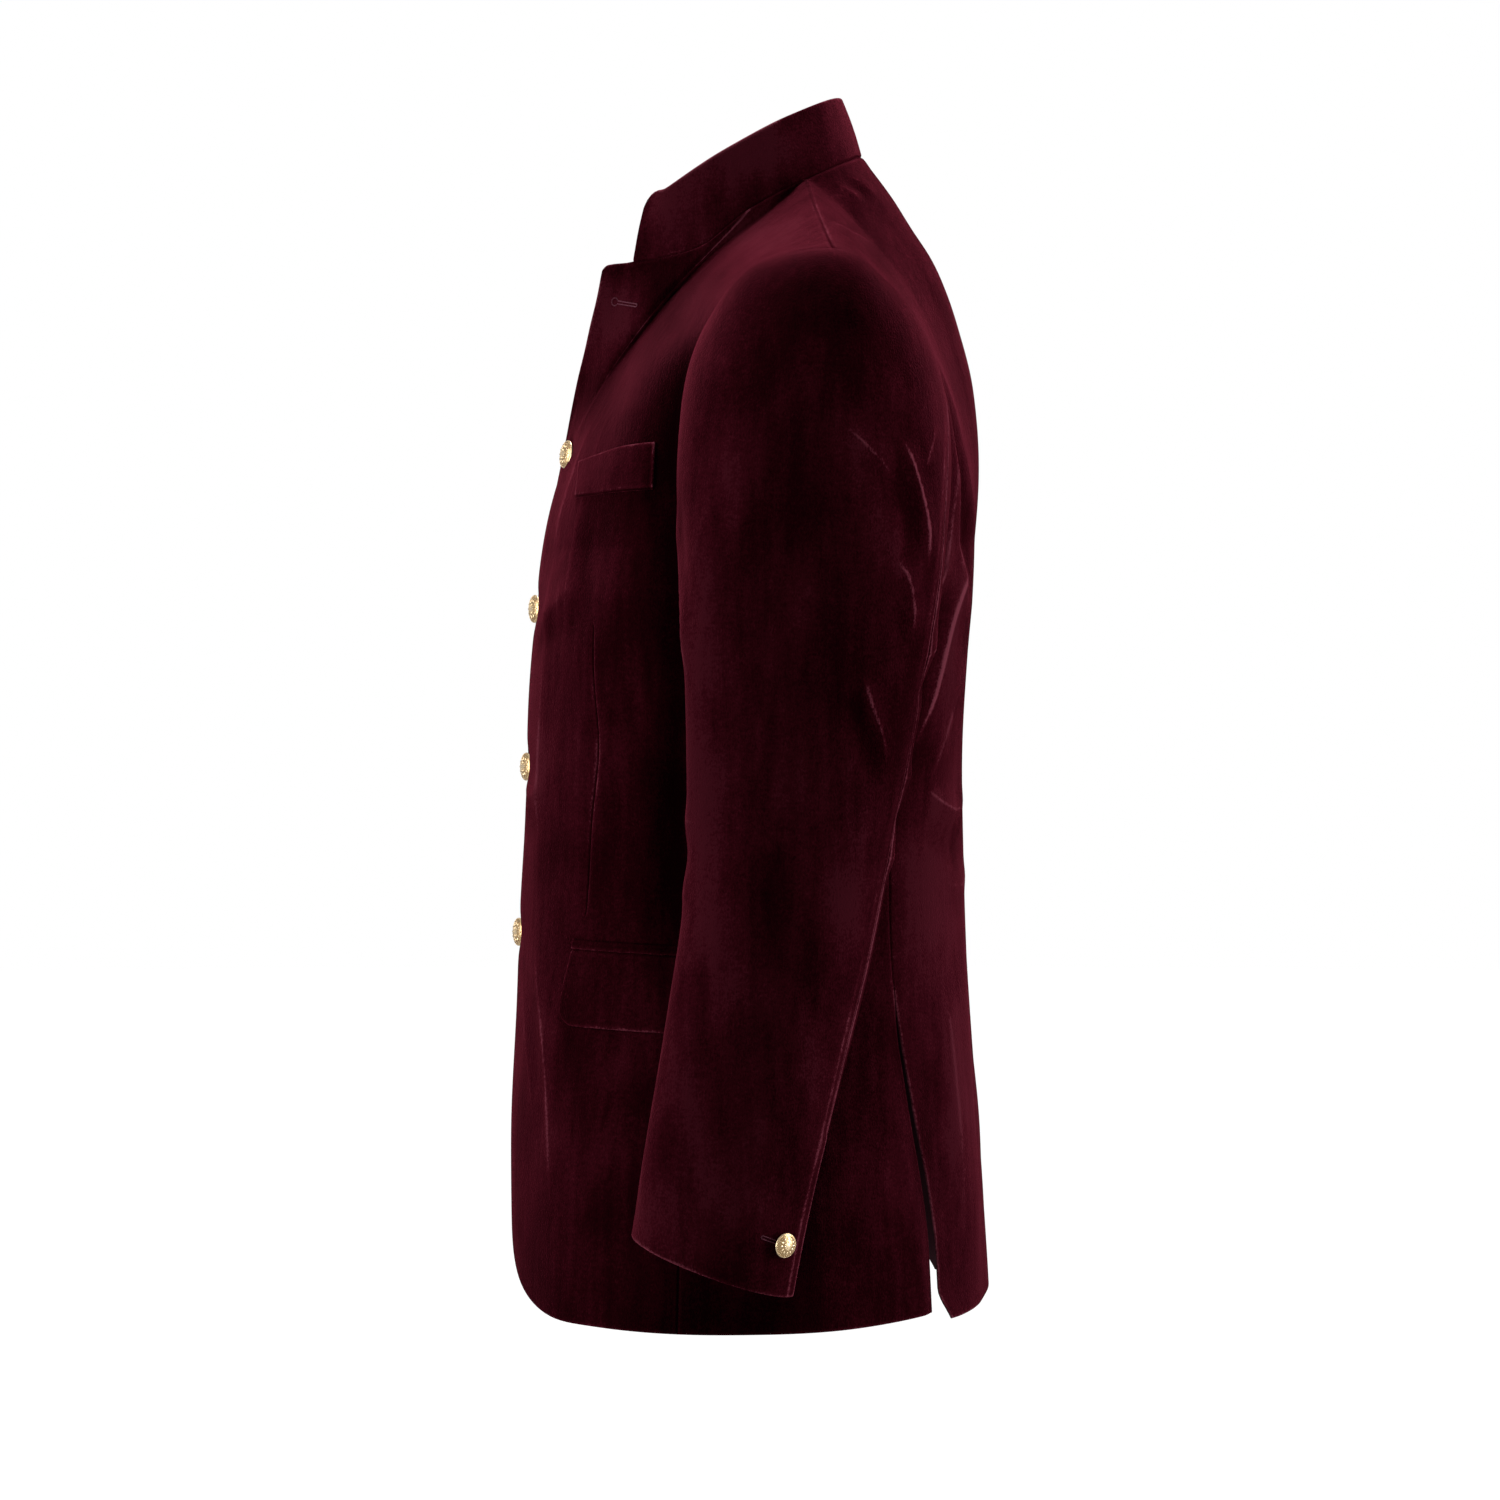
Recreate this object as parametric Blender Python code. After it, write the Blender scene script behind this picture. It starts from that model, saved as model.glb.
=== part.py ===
"""Velvet nehru jacket in its worn form, hollow, with its top button undone.

The front faces -Y, the wearer's left is +X and up is +Z. The origin is the middle of the neck
opening, level with the neck ends of the shoulder seams. Every table is in millimetres and
degrees, and only new_object turns millimetres into Blender's metres.

Each cloth piece is a grid of points on its outer face, given a wall towards the inside. Its
lower part lies on the body sections below, and its upper part fills the four lines round it.
"""

import math

import bpy
import numpy as np

MM = 0.001

# Walls and gaps
CLOTH_WALL = 2.0
COLLAR_WALL = 3.0
FLAP_WALL = 1.6
SEAM_GAP = 0.3
LAID_GAP = 0.6
COLLAR_GAP = 1.4

# Heights that the panels share
HEM = -735.0
VENT_TOP = -517.0
CHEST = -275.0

# Fronts: the lap past the centre, the fold line of the open corner, and the round hem corner
BUTTON_STAND = 19.0
ROLL_X = 12.0
LAP_REACH = (26.0, 62.0)
EDGE_DRAW = 10.0
EDGE_DRAW_TOP = -570.0
EDGE_DRAW_HEIGHT = 90.0
CORNER_RISE = 95.0
CORNER_REACH = 178.0
CORNER_SHARPNESS = 2.2

# Back: the slit of each side vent, and how far its flap swings out
VENT_SPREAD = 9.0
VENT_FLARE = 4.0
FLARE_SHARE = 0.6

# Body sections are widest at this y
WIDEST_Y = 5.0

# The part of each armhole panel's side that is seam, below the armhole
ARM_JOIN = 0.15
SHOULDER_SAG = 3.0
COLLAR_CORNER_DROP = 0.06

# Grid counts
SKIRT_ROWS = 7
WAIST_ROWS = 8
ARM_STEP = 15
STAND_COLUMNS = 6
NECK_COLUMNS = 4
SHOULDER_COLUMNS = 9
BACK_NECK_COLUMNS = 7
CAP_ROWS = 8
SLEEVE_ROWS = 12
COLLAR_ROWS = 3

# Colours, roughness and metallic
VELVET = ((0.045, 0.003, 0.010), 0.9, 0.0)
GOLD = ((0.69, 0.50, 0.28), 0.35, 1.0)

BODY_SECTIONS = (
    # height, front y, back y, half width, front roundness, back roundness
    (-745, -157.5, 159.0, 211, 2.2, 2.3),
    (-657, -159.0, 155.0, 202, 2.2, 2.3),
    (-577, -157.0, 149.0, 190, 2.2, 2.4),
    (-510, -154.0, 144.5, 181, 2.2, 2.5),
    (-443, -151.0, 141.0, 177, 2.2, 2.6),
    (-377, -148.0, 140.0, 181, 2.2, 2.8),
    (-310, -145.0, 143.7, 190, 2.1, 3.0),
    (-275, -142.5, 146.5, 195, 2.0, 3.1),
)

HEM_LINE = (
    # turn from the centre front, height
    (0, -735),
    (45, -734),
    (80, -735),
    (105, -733),
    (130, -728),
    (145, -725),
)

BACK_HEM_LINE = (
    # turn from the centre front, height
    (125, -732),
    (145, -731),
    (165, -726),
    (180, -720),
)

FRONT_SEAM = (
    # height, y
    (-745, -46),
    (-443, -38),
    (-275, -27),
)

BACK_SEAM = (
    # height, y
    (-745, 119.5),
    (-675, 115.5),
    (-590, 102),
    (-517, 91),
    (-443, 89),
    (-350, 94),
    (-275, 100),
)

BACK_LINE = (
    # height, y at the centre back
    (-275, 146.5),
    (-230, 149.5),
    (-190, 150.5),
    (-150, 148.5),
    (-123, 145.5),
    (-97, 139.5),
    (-70, 131.5),
    (-47, 121.8),
    (-26, 109),
    (-5, 96.5),
    (24.7, 74.7),
)

LAPEL_SECTIONS = (
    # height, x and y at the front edge, then height, x and y at the roll line
    (-275, -19, -142.0, -275, 12, -142.3),
    (-230, -19, -137.0, -232, 11, -137.5),
    (-195, -19, -130.3, -198, 10, -131.0),
    (-166, -18, -124.5, -171, 11, -122.0),
    (-145, -10, -120.3, -146, 21, -111.5),
    (-123, 3, -115.2, -124, 39, -95.5),
    (-104, 14, -110.0, -105, 54, -82.0),
    (-88, 23.5, -106.0, -88, 64, -67.0),
    (-74, 30, -102.2, -67, 69, -50.0),
    (-61, 34.5, -99.3, -45, 73, -26.0),
    (-50.5, 38, -97.0, -17.5, 76, 0.0),
)

# How far the right front lies behind the left one at the centre
LAP_DEPTHS = (
    # height, depth
    (-745, 2.9),
    (-290, 2.9),
    (-240, 6.0),
    (-200, 8.5),
    (-165, 12.5),
    (-140, 12.5),
    (-115, 8.0),
    (-45, 3.0),
)

NECK_LINE = (
    # place, x, y and z at the collar seam, then at the collar's upper edge
    ("corner", 38, -97.0, -50.5, 38, -97.0, -50.5),
    ("notch", 46, -77.5, -49.4, 43, -69.0, -9.0),
    ("gorge", 59, -55.0, -47.0, 55, -55.0, -1.0),
    ("side front", 70, -32.0, -41.0, 65, -38.0, 9.5),
    ("side", 76, 0.0, -17.5, 72, -15.0, 23.0),
    ("neck point", 75, 36.5, 2.0, 71, 18.5, 41.0),
    ("back", 46, 64.0, 17.0, 44, 49.0, 57.0),
    ("centre back", 0, 74.7, 24.7, 0, 61.0, 64.0),
)

ARMHOLE = (
    # place, turn from the shoulder over the back in degrees, x, y, z
    ("shoulder", 0, 215, 52, -58),
    ("back top", 30, 205, 85, -79),
    ("back high", 60, 185, 111, -118),
    ("back", 90, 171, 122.5, -172),
    ("back low", 110, 172, 119, -213),
    ("back seam", 135, 178, 100, -245),
    ("bottom", 180, 193, 38, -264),
    ("front seam", 225, 185, -23, -240),
    ("front low", 250, 170, -41, -196),
    ("front", 277, 171, -38.5, -141),
    ("front high", 307, 186, -23, -98),
    ("front top", 337, 204, 7, -65.5),
)

SLEEVE_SECTIONS = (
    # height, centre x, centre y, front-to-back width, side-to-side width, tilt
    (-300, 244, 36.5, 154, 92, 1),
    (-340, 245, 33.5, 146, 92, 3),
    (-400, 246, 28.0, 133, 92, 6),
    (-470, 248, 19.0, 121, 90, 10),
    (-550, 250, 4.0, 113, 86, 15),
    (-620, 251, -11.0, 108, 80, 18),
    (-686, 251, -23.0, 106, 76, 19.5),
)
SLEEVE_ROUNDNESS = 2.15
CUFF_DROP = 5.0
HIND_SEAM = 75
FRONT_SLEEVE_SEAM = 240
HEAD_GATHER = 1.25

FOLD_FREE_COLUMNS = 3
BACK_FOLDS = (
    # x, y and z of the upper end, then of the lower end, height, half width
    (150, 135, -148, 160, 123, -248, 2.5, 14),
    (150, 138, -244, 172, 101, -370, 4.0, 17),
)

# Trims, by y and z as seen from the wearer's left
WELT_TOP = ((-109, -183), (-60, -174.5))
WELT_BOTTOM = ((-112, -206), (-62, -204))
WELT_GRID = (8, 2)
FLAP_FRONT_Y = -113.0
FLAP_TOP = -498.0
FLAP_LENGTH = 155.0
FLAP_HEIGHT = 53.0
FLAP_SLANT = 9.0
FLAP_DROP = 5.0
FLAP_CORNER = 14.0
FLAP_CORNER_RISE = 10.5
FLAP_GRID = (12, 4)
JETTING_HEIGHT = 6.0
JETTING_GAP = 1.0
JETTING_GRID = (10, 1)

FRONT_BUTTON_ACROSS = 0.68
FRONT_BUTTON_HEIGHTS = (-173, -276, -381, -491)
TOP_BUTTON = (0.3, 2.9)
FRONT_BUTTON = 18.8
CUFF_BUTTON = 15.5
CUFF_BUTTON_TURN = 46
CUFF_BUTTON_ALONG = 1.919
CUFF_BUTTON_LIFT = 0.26
BUTTON_TILT = 12
SHANK_RADIUS = 2.0
SHANK_LENGTH = 2.2
BUTTON_GAP = 0.4
BUTTON_SEGMENTS = 16


def spline(keys, rows, at):
    """Points of the smooth curve through rows, one row for each key, at the places in at."""
    keys = np.asarray(keys, float)
    rows = np.asarray(rows, float)
    at = np.asarray(at, float)
    slopes = np.gradient(rows, keys, axis=0)
    low = np.clip(np.searchsorted(keys, at, side="right") - 1, 0, len(keys) - 2)
    span = keys[low + 1] - keys[low]
    part = (at - keys[low]) / span
    if rows.ndim > 1:
        span = span[..., None]
        part = part[..., None]
    rest = 1 - part
    return (
        (1 + 2 * part) * rest**2 * rows[low]
        + part * rest**2 * span * slopes[low]
        + (1 + 2 * rest) * part**2 * rows[low + 1]
        - rest * part**2 * span * slopes[low + 1]
    )


def table_spline(table, at):
    """A table read by its first column: one value for each other column."""
    table = np.asarray(table, float)
    rows = table[:, 1] if table.shape[1] == 2 else table[:, 1:]
    return spline(table[:, 0], rows, at)


def mix(start, end, share):
    return start + (end - start) * share


def ease(share):
    share = np.clip(share, 0, 1)
    return share * share * (3 - 2 * share)


def body_section(height):
    return np.moveaxis(table_spline(BODY_SECTIONS, height), -1, 0)


def body_point(height, turn):
    """A point of the body's outer face, turned from the centre front over the left side."""
    front, back, half, front_round, back_round = body_section(height)
    sine, cosine = np.sin(turn), np.cos(turn)
    power = 2 / np.where(cosine > 0, front_round, back_round)
    reach = np.where(cosine > 0, WIDEST_Y - front, back - WIDEST_Y)
    x = half * np.sign(sine) * np.abs(sine) ** power
    y = WIDEST_Y - np.sign(cosine) * reach * np.abs(cosine) ** power
    return np.stack([x, y, height + 0 * x], axis=-1)


def turn_at_x(height, x):
    """The turn at which the front of a section has this x."""
    _, _, half, front_round, _ = body_section(height)
    return np.sign(x) * np.arcsin((np.abs(x) / half) ** (front_round / 2))


def turn_at_y(height, y):
    """The turn at which the left side of a section has this y."""
    front, back, _, front_round, back_round = body_section(height)
    ahead = np.clip((WIDEST_Y - y) / (WIDEST_Y - front), 0, 1)
    behind = np.clip((y - WIDEST_Y) / (back - WIDEST_Y), 0, 1)
    front_turn = np.arccos(ahead ** (front_round / 2))
    back_turn = math.pi - np.arccos(behind ** (back_round / 2))
    return np.where(y < WIDEST_Y, front_turn, back_turn)


def edge_turn(height):
    """The front edge, which draws back a little where the hem's corner starts to round."""
    draw = EDGE_DRAW * ease((EDGE_DRAW_TOP - height) / EDGE_DRAW_HEIGHT)
    return turn_at_x(height, draw - BUTTON_STAND)


def roll_turn(height):
    return turn_at_x(height, ROLL_X + 0 * height)


def front_seam_turn(height):
    return turn_at_y(height, table_spline(FRONT_SEAM, height))


def back_seam_turn(height):
    return turn_at_y(height, table_spline(BACK_SEAM, height))


def vent_turn(height):
    """The back's side edge: the seam above the vent, and the spread edge of the flap below."""
    spread = VENT_SPREAD * np.clip((VENT_TOP - height) / (VENT_TOP - HEM), 0, 1)
    return turn_at_y(height, table_spline(BACK_SEAM, height) + spread)


def centre_back_turn(height):
    return math.pi + 0 * height


def front_hem(turn):
    """Hem height of the front and side, rising in a long round at the front corner."""
    x = body_point(HEM + 0 * turn, turn)[..., 0]
    rise = CORNER_RISE * np.clip(1 - (x + BUTTON_STAND) / CORNER_REACH, 0, 1) ** CORNER_SHARPNESS
    return table_spline(HEM_LINE, np.degrees(turn)) + rise


def back_hem(turn):
    return table_spline(BACK_HEM_LINE, np.degrees(turn))


def armhole_point(turn):
    """A point of the left armhole seam, by its turn in degrees from the shoulder over the back."""
    rows = np.array([row[2:] for row in ARMHOLE], float)
    turns = np.array([row[1] for row in ARMHOLE], float)
    wrapped_turns = np.concatenate([turns - 360, turns, turns + 360])
    return spline(wrapped_turns, np.concatenate([rows, rows, rows]), turn)


def neck_points(first, last, share, columns):
    """The neck line between two places, at shares of its length between them."""
    names = [row[0] for row in NECK_LINE]
    rows = np.array([row[1:] for row in NECK_LINE], float)
    # Beyond the centre back the line goes on as its own mirror, so that it is smooth there.
    mirrored = rows[-2] * np.array([-1, 1, 1, -1, 1, 1])
    rows = np.vstack([rows, mirrored])
    steps = np.linalg.norm(np.diff(rows[:, :3], axis=0), axis=1)
    along = np.concatenate([[0], np.cumsum(steps)])
    start, end = along[names.index(first)], along[names.index(last)]
    return spline(along, rows[:, columns], mix(start, end, np.asarray(share, float)))


SEAM = slice(0, 3)
UPPER_EDGE = slice(3, 6)


def shoulder_point(share):
    """The shoulder seam from the neck point to the armhole, sagging a little between them."""
    neck = neck_points("neck point", "neck point", 0, SEAM)
    sag = SHOULDER_SAG * 4 * share * (1 - share)
    points = mix(neck, armhole_point(0), share[..., None])
    return points - sag[..., None] * np.array([0, 0, 1])


def two_part(share, join, first, second):
    """One line from two that meet at share join."""
    share = np.asarray(share, float)
    lower = first(np.clip(share / join, 0, 1))
    upper = second(np.clip((share - join) / (1 - join), 0, 1))
    return np.where((share < join)[..., None], lower, upper)


def rounded(line, share):
    """A line with its inner corner rounded off and its two ends kept."""
    reach = 0.9 * share * (1 - share)
    return np.mean([line(share + reach * step) for step in np.linspace(-1, 1, 9)], axis=0)


def side_line(turn_of, corner_turn, tip_turn):
    """Up the seam from the chest to the armhole, then along the armhole to its last turn."""
    start = body_point(np.array(CHEST), turn_of(np.array(CHEST)))
    corner = armhole_point(corner_turn)
    return lambda share: two_part(
        share,
        ARM_JOIN,
        lambda part: mix(start, corner, part[..., None]),
        lambda part: armhole_point(mix(corner_turn, tip_turn, part)),
    )


def lapel_line(columns):
    """The front edge or the roll line from the chest up to the neck."""
    table = np.array(LAPEL_SECTIONS, float)
    share = (table[:, 0] - table[0, 0]) / (table[-1, 0] - table[0, 0])
    rows = table[:, columns]
    return lambda at: spline(share, rows, at)


EDGE_COLUMNS = [1, 2, 0]
ROLL_COLUMNS = [4, 5, 3]


def centre_back_line(share):
    heights = mix(CHEST, BACK_LINE[-1][0], np.asarray(share, float))
    y = table_spline(BACK_LINE, heights)
    return np.stack([0 * y, y, heights], axis=-1)


def panel_point(panel, across, up):
    """A point of a panel: across from its first side (0) to its second (1), and up from the
    hem (0) to the vent top (1), the chest (2) and the panel's upper edge (3)."""
    first, second = panel["turns"]
    across, up = np.broadcast_arrays(np.asarray(across, float), np.asarray(up, float))
    low = np.full(across.shape, HEM)
    hem = panel["hem"](mix(first(low), second(low), across))
    height = np.where(up < 1, mix(hem, VENT_TOP, up), mix(VENT_TOP, CHEST, np.clip(up - 1, 0, 1)))
    lower = body_point(height, mix(first(height), second(height), across))
    part = np.clip(up - 2, 0, 1)
    blend = ease(part)[..., None]
    chest = np.full(across.shape, CHEST)
    start, end = first(chest), second(chest)
    base = body_point(chest, mix(start, end, across))
    top, left, right = panel["top"], panel["sides"][0], panel["sides"][1]
    nought, one = np.zeros(across.shape), np.ones(across.shape)
    from_first = left(part) - mix(body_point(chest, start), top(nought), blend)
    from_second = right(part) - mix(body_point(chest, end), top(one), blend)
    upper = mix(base, rounded(top, across), blend)
    # The upper edge's own corner fades out a little way below it.
    upper += (top(across) - rounded(top, across)) * part[..., None] ** 5
    upper += mix(from_first, from_second, across[..., None])
    return np.where((up > 2)[..., None], upper, lower)


STAND = {
    "turns": (edge_turn, roll_turn),
    "hem": front_hem,
    "sides": (lapel_line(EDGE_COLUMNS), lapel_line(ROLL_COLUMNS)),
    "top": lambda share: two_part(
        share,
        1 / STAND_COLUMNS,
        lambda part: neck_points("corner", "notch", part, SEAM),
        lambda part: neck_points("notch", "side", part, SEAM),
    ),
}
CHEST_NECK_SHARE = NECK_COLUMNS / (NECK_COLUMNS + SHOULDER_COLUMNS)
FRONT = {
    "turns": (roll_turn, front_seam_turn),
    "hem": front_hem,
    "sides": (lapel_line(ROLL_COLUMNS), side_line(front_seam_turn, 225, 360)),
    "top": lambda share: two_part(
        share,
        CHEST_NECK_SHARE,
        lambda part: neck_points("side", "neck point", part, SEAM),
        shoulder_point,
    ),
}
SIDE = {
    "turns": (front_seam_turn, back_seam_turn),
    "hem": front_hem,
    "sides": (side_line(front_seam_turn, 225, 360), side_line(back_seam_turn, 135, 0)),
    "top": lambda share: armhole_point(mix(225, 135, share)),
}
SHOULDER_SHARE = SHOULDER_COLUMNS / (SHOULDER_COLUMNS + BACK_NECK_COLUMNS)
BACK = {
    "turns": (vent_turn, centre_back_turn),
    "hem": back_hem,
    "sides": (side_line(back_seam_turn, 135, 0), centre_back_line),
    "top": lambda share: two_part(
        share,
        SHOULDER_SHARE,
        lambda part: shoulder_point(1 - part),
        lambda part: neck_points("neck point", "centre back", part, SEAM),
    ),
}


def normals_of(points):
    """Unit normals of a grid of points, to the left of its columns as its rows go up."""
    along = np.gradient(points, axis=1, edge_order=2)
    up = np.gradient(points, axis=0, edge_order=2 if len(points) > 2 else 1)
    normals = np.cross(along, up)
    return normals / np.linalg.norm(normals, axis=2, keepdims=True)


def drawn_in(points, rows=(), columns=(), by=SEAM_GAP / 2):
    """The grid with some of its edges moved towards their neighbours, to leave a seam's gap."""
    points = points.copy()
    for column in columns:
        inner = points[:, 1 if column == 0 else -2]
        step = inner - points[:, column]
        points[:, column] += by * step / np.linalg.norm(step, axis=1, keepdims=True)
    for row in rows:
        inner = points[1 if row == 0 else -2]
        step = inner - points[row]
        points[row] += by * step / np.linalg.norm(step, axis=1, keepdims=True)
    return points


def wall_mesh(points, wall, normals=None):
    """Vertices and faces of a closed wall whose outer face is the grid of points."""
    rows, columns, _ = points.shape
    normals = normals_of(points) if normals is None else normals
    vertices = np.concatenate([points.reshape(-1, 3), (points - wall * normals).reshape(-1, 3)])
    index = np.arange(rows * columns).reshape(rows, columns)
    under = rows * columns
    faces = []
    for row in range(rows - 1):
        for column in range(columns - 1):
            quad = (
                index[row, column],
                index[row, column + 1],
                index[row + 1, column + 1],
                index[row + 1, column],
            )
            faces.append(quad)
            faces.append(tuple(corner + under for corner in reversed(quad)))
    rim = [*index[0], *index[1:, -1], *index[-1, -2::-1], *index[-2:0:-1, 0]]
    for here, there in zip(rim, rim[1:] + rim[:1]):
        faces.append((there, here, here + under, there + under))
    return vertices, [tuple(int(corner) for corner in face) for face in faces]


def mirrored(mesh):
    vertices, faces = mesh
    return vertices * np.array([-1, 1, 1]), [tuple(reversed(face)) for face in faces]


def new_object(name, mesh, finish, smooth_angle=60):
    """A named object with its own material, from vertices in millimetres."""
    vertices, faces = mesh
    data = bpy.data.meshes.new(name)
    data.from_pydata((vertices * MM).tolist(), [], faces)
    data.shade_smooth()
    data.set_sharp_from_angle(angle=math.radians(smooth_angle))
    colour, roughness, metallic = finish
    material = bpy.data.materials.new(name)
    material.use_nodes = True
    shader = material.node_tree.nodes["Principled BSDF"]
    shader.inputs["Base Color"].default_value = (*colour, 1)
    shader.inputs["Roughness"].default_value = roughness
    shader.inputs["Metallic"].default_value = metallic
    data.materials.append(material)
    item = bpy.data.objects.new(name, data)
    bpy.context.scene.collection.objects.link(item)
    return item


def panel_rows(last_turns):
    """Row places from the hem to the panel's top, with the armhole's rows a set turn apart."""
    skirt = np.arange(SKIRT_ROWS) / SKIRT_ROWS
    waist = 1 + np.arange(WAIST_ROWS) / WAIST_ROWS
    arm = 2 + mix(ARM_JOIN, 1, np.arange(last_turns + 1) / last_turns)
    return np.concatenate([skirt, waist, [2], arm])


def panel_grid(panel, columns, rows):
    shares = np.arange(columns + 1) / columns
    return panel_point(panel, shares[None, :], rows[:, None])


def share_normals(one, other):
    """Gives two panels the same normals along a seam, so that their walls meet edge to edge."""
    both = one + other
    both /= np.linalg.norm(both, axis=1, keepdims=True)
    one[:] = both
    other[:] = both


def front_points():
    rows = panel_rows((360 - 225) // ARM_STEP)
    stand = panel_grid(STAND, STAND_COLUMNS, rows)
    chest = panel_grid(FRONT, NECK_COLUMNS + SHOULDER_COLUMNS, rows)
    return np.concatenate([stand, chest[:, 1:]], axis=1)


def lapped(points):
    """The front that lies under the other one: set back near the centre."""
    points = points.copy()
    heights, depths = zip(*LAP_DEPTHS)
    depth = np.interp(points[..., 2], heights, depths)
    near, far = LAP_REACH
    points[..., 1] += depth * ease((far - np.abs(points[..., 0])) / (far - near))
    return points


def side_points():
    points = panel_grid(SIDE, 90 // ARM_STEP, panel_rows(1)[:-1])
    # The top row is the bottom of the armhole itself.
    points[-1] = armhole_point(np.arange(225, 134, -ARM_STEP))
    return points


def back_points():
    points = panel_grid(BACK, SHOULDER_COLUMNS + BACK_NECK_COLUMNS, panel_rows(135 // ARM_STEP))
    # The flap beside the vent swings out a little towards the hem.
    low = ease((VENT_TOP - points[..., 2]) / (VENT_TOP - HEM))
    near = ease(1 - np.linspace(0, 1, points.shape[1]) / FLARE_SHARE)
    outwards = points[..., :2] / np.linalg.norm(points[..., :2], axis=2, keepdims=True)
    points[..., :2] += VENT_FLARE * (low * near[None, :])[..., None] * outwards
    # Soft folds hang from the back of the armhole. The seam beside them stays as it is.
    free = ease(np.arange(points.shape[1]) / FOLD_FREE_COLUMNS)[None, :]
    return points + (free * fold_heights(points, BACK_FOLDS))[..., None] * normals_of(points)


def fold_heights(points, folds):
    """How far soft folds lift each point, from the line along each one's ridge."""
    total = np.zeros(points.shape[:-1])
    for x, y, z, low_x, low_y, low_z, height, half_width in folds:
        start, line = np.array([x, y, z]), np.array([low_x - x, low_y - y, low_z - z])
        part = np.clip((points - start) @ line / (line @ line), 0, 1)
        distance = np.linalg.norm(points - start - part[..., None] * line, axis=-1)
        total += height * np.exp(-((distance / half_width) ** 2))
    return total


def make_body(side, lap):
    """The front, side body and back of one side, which share three seams."""
    front, body, back = lap(front_points()), side_points(), back_points()
    front_normals, body_normals, back_normals = map(normals_of, (front, body, back))
    tall = len(body)
    share_normals(front_normals[:tall, -1], body_normals[:, 0])
    share_normals(body_normals[SKIRT_ROWS:, -1], back_normals[SKIRT_ROWS:tall, 0])
    shoulder = slice(None, SHOULDER_COLUMNS + 1)
    share_normals(front_normals[-1, ::-1][shoulder], back_normals[-1, shoulder])
    back_normals[:, -1, 0] = 0
    pieces = {
        "front": (drawn_in(front, rows=[-1], columns=[-1]), front_normals),
        "side": (drawn_in(body, rows=[-1], columns=[0, -1]), body_normals),
        "back": (drawn_in(back, rows=[-1], columns=[0, -1]), back_normals),
    }
    for name, (points, normals) in pieces.items():
        mesh = wall_mesh(points, CLOTH_WALL, normals)
        new_object(f"{name}_{side}", mesh if side == "left" else mirrored(mesh), VELVET)


def make_collar():
    """The stand collar, from its left front end round the back to its right front end. Its
    columns are those of the panels' neck edges."""
    spans = (
        ("notch", "side", STAND_COLUMNS - 1),
        ("side", "neck point", NECK_COLUMNS),
        ("neck point", "centre back", BACK_NECK_COLUMNS),
    )
    edges = []
    for line in (SEAM, UPPER_EDGE):
        parts = [
            neck_points(first, last, np.arange(count) / count, line) for first, last, count in spans
        ]
        edges.append(np.concatenate(parts + [neck_points("notch", "centre back", [1], line)]))
    seam, top = edges
    # The front ends' upper corners are rounded.
    top[0] = mix(top[0], seam[0], COLLAR_CORNER_DROP)
    up = (top - seam) / np.linalg.norm(top - seam, axis=1, keepdims=True)
    seam = seam + COLLAR_GAP * up
    rows = np.linspace(0, 1, COLLAR_ROWS + 1)[:, None, None]
    left = mix(seam[None], top[None], rows)
    right = left[:, -2::-1] * np.array([-1, 1, 1])
    points = np.concatenate([left, right], axis=1)
    new_object("collar", wall_mesh(points, COLLAR_WALL), VELVET)


def sleeve_ring(height, turn):
    """A point of the sleeve's outer face: turn 0 is outermost and 90 is at the back."""
    values = np.moveaxis(table_spline(SLEEVE_SECTIONS[::-1], height), -1, 0)
    centre_x, centre_y, width, depth, tilt = values
    angle = np.radians(turn)
    sine, cosine = np.sin(angle), np.cos(angle)
    power = 2 / SLEEVE_ROUNDNESS
    out = depth / 2 * np.sign(cosine) * np.abs(cosine) ** power
    back = width / 2 * np.sign(sine) * np.abs(sine) ** power
    lean = np.radians(tilt)
    top, cuff = SLEEVE_SECTIONS[0][0], SLEEVE_SECTIONS[-1][0]
    low = ease((top - height) / (top - cuff))
    x = centre_x + out
    y = centre_y + back * np.cos(lean)
    z = height - back * np.sin(lean) - CUFF_DROP * low * cosine
    return np.stack([x, y, z], axis=-1)


def sleeve_point(along, turn):
    """Along is 0 at the armhole, 1 at the top of the arm and 2 at the cuff."""
    along, turn = np.broadcast_arrays(np.asarray(along, float), np.asarray(turn, float))
    angle = np.radians(turn)
    top, cuff = SLEEVE_SECTIONS[0][0], SLEEVE_SECTIONS[-1][0]
    arm = armhole_point(turn)
    ring = sleeve_ring(np.full(turn.shape, float(top)), turn)
    below = sleeve_ring(np.full(turn.shape, top - 10.0), turn)
    # The cap leaves the armhole outwards and arrives along the arm, fullest at the shoulder.
    reach = np.linalg.norm(ring - arm, axis=-1, keepdims=True)
    out = np.stack([1 + 0 * angle, 0.28 * np.sin(angle), 0.05 * np.cos(angle) - 0.1], axis=-1)
    out /= np.linalg.norm(out, axis=-1, keepdims=True)
    down = (below - ring) / np.linalg.norm(below - ring, axis=-1, keepdims=True)
    fullness = 0.70 + 0.25 * np.cos(angle)
    leave = out * reach * fullness[..., None]
    arrive = down * reach * 0.95
    part = np.clip(along, 0, 1)[..., None]
    rest = 1 - part
    cap = (
        (1 + 2 * part) * rest**2 * arm
        + part * rest**2 * leave
        + (1 + 2 * rest) * part**2 * ring
        - rest * part**2 * arrive
    )
    cap = cap + SEAM_GAP * out * rest
    height = mix(top, cuff, np.clip(along - 1, 0, 1))
    return np.where((along > 1)[..., None], sleeve_ring(height, turn), cap)


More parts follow.
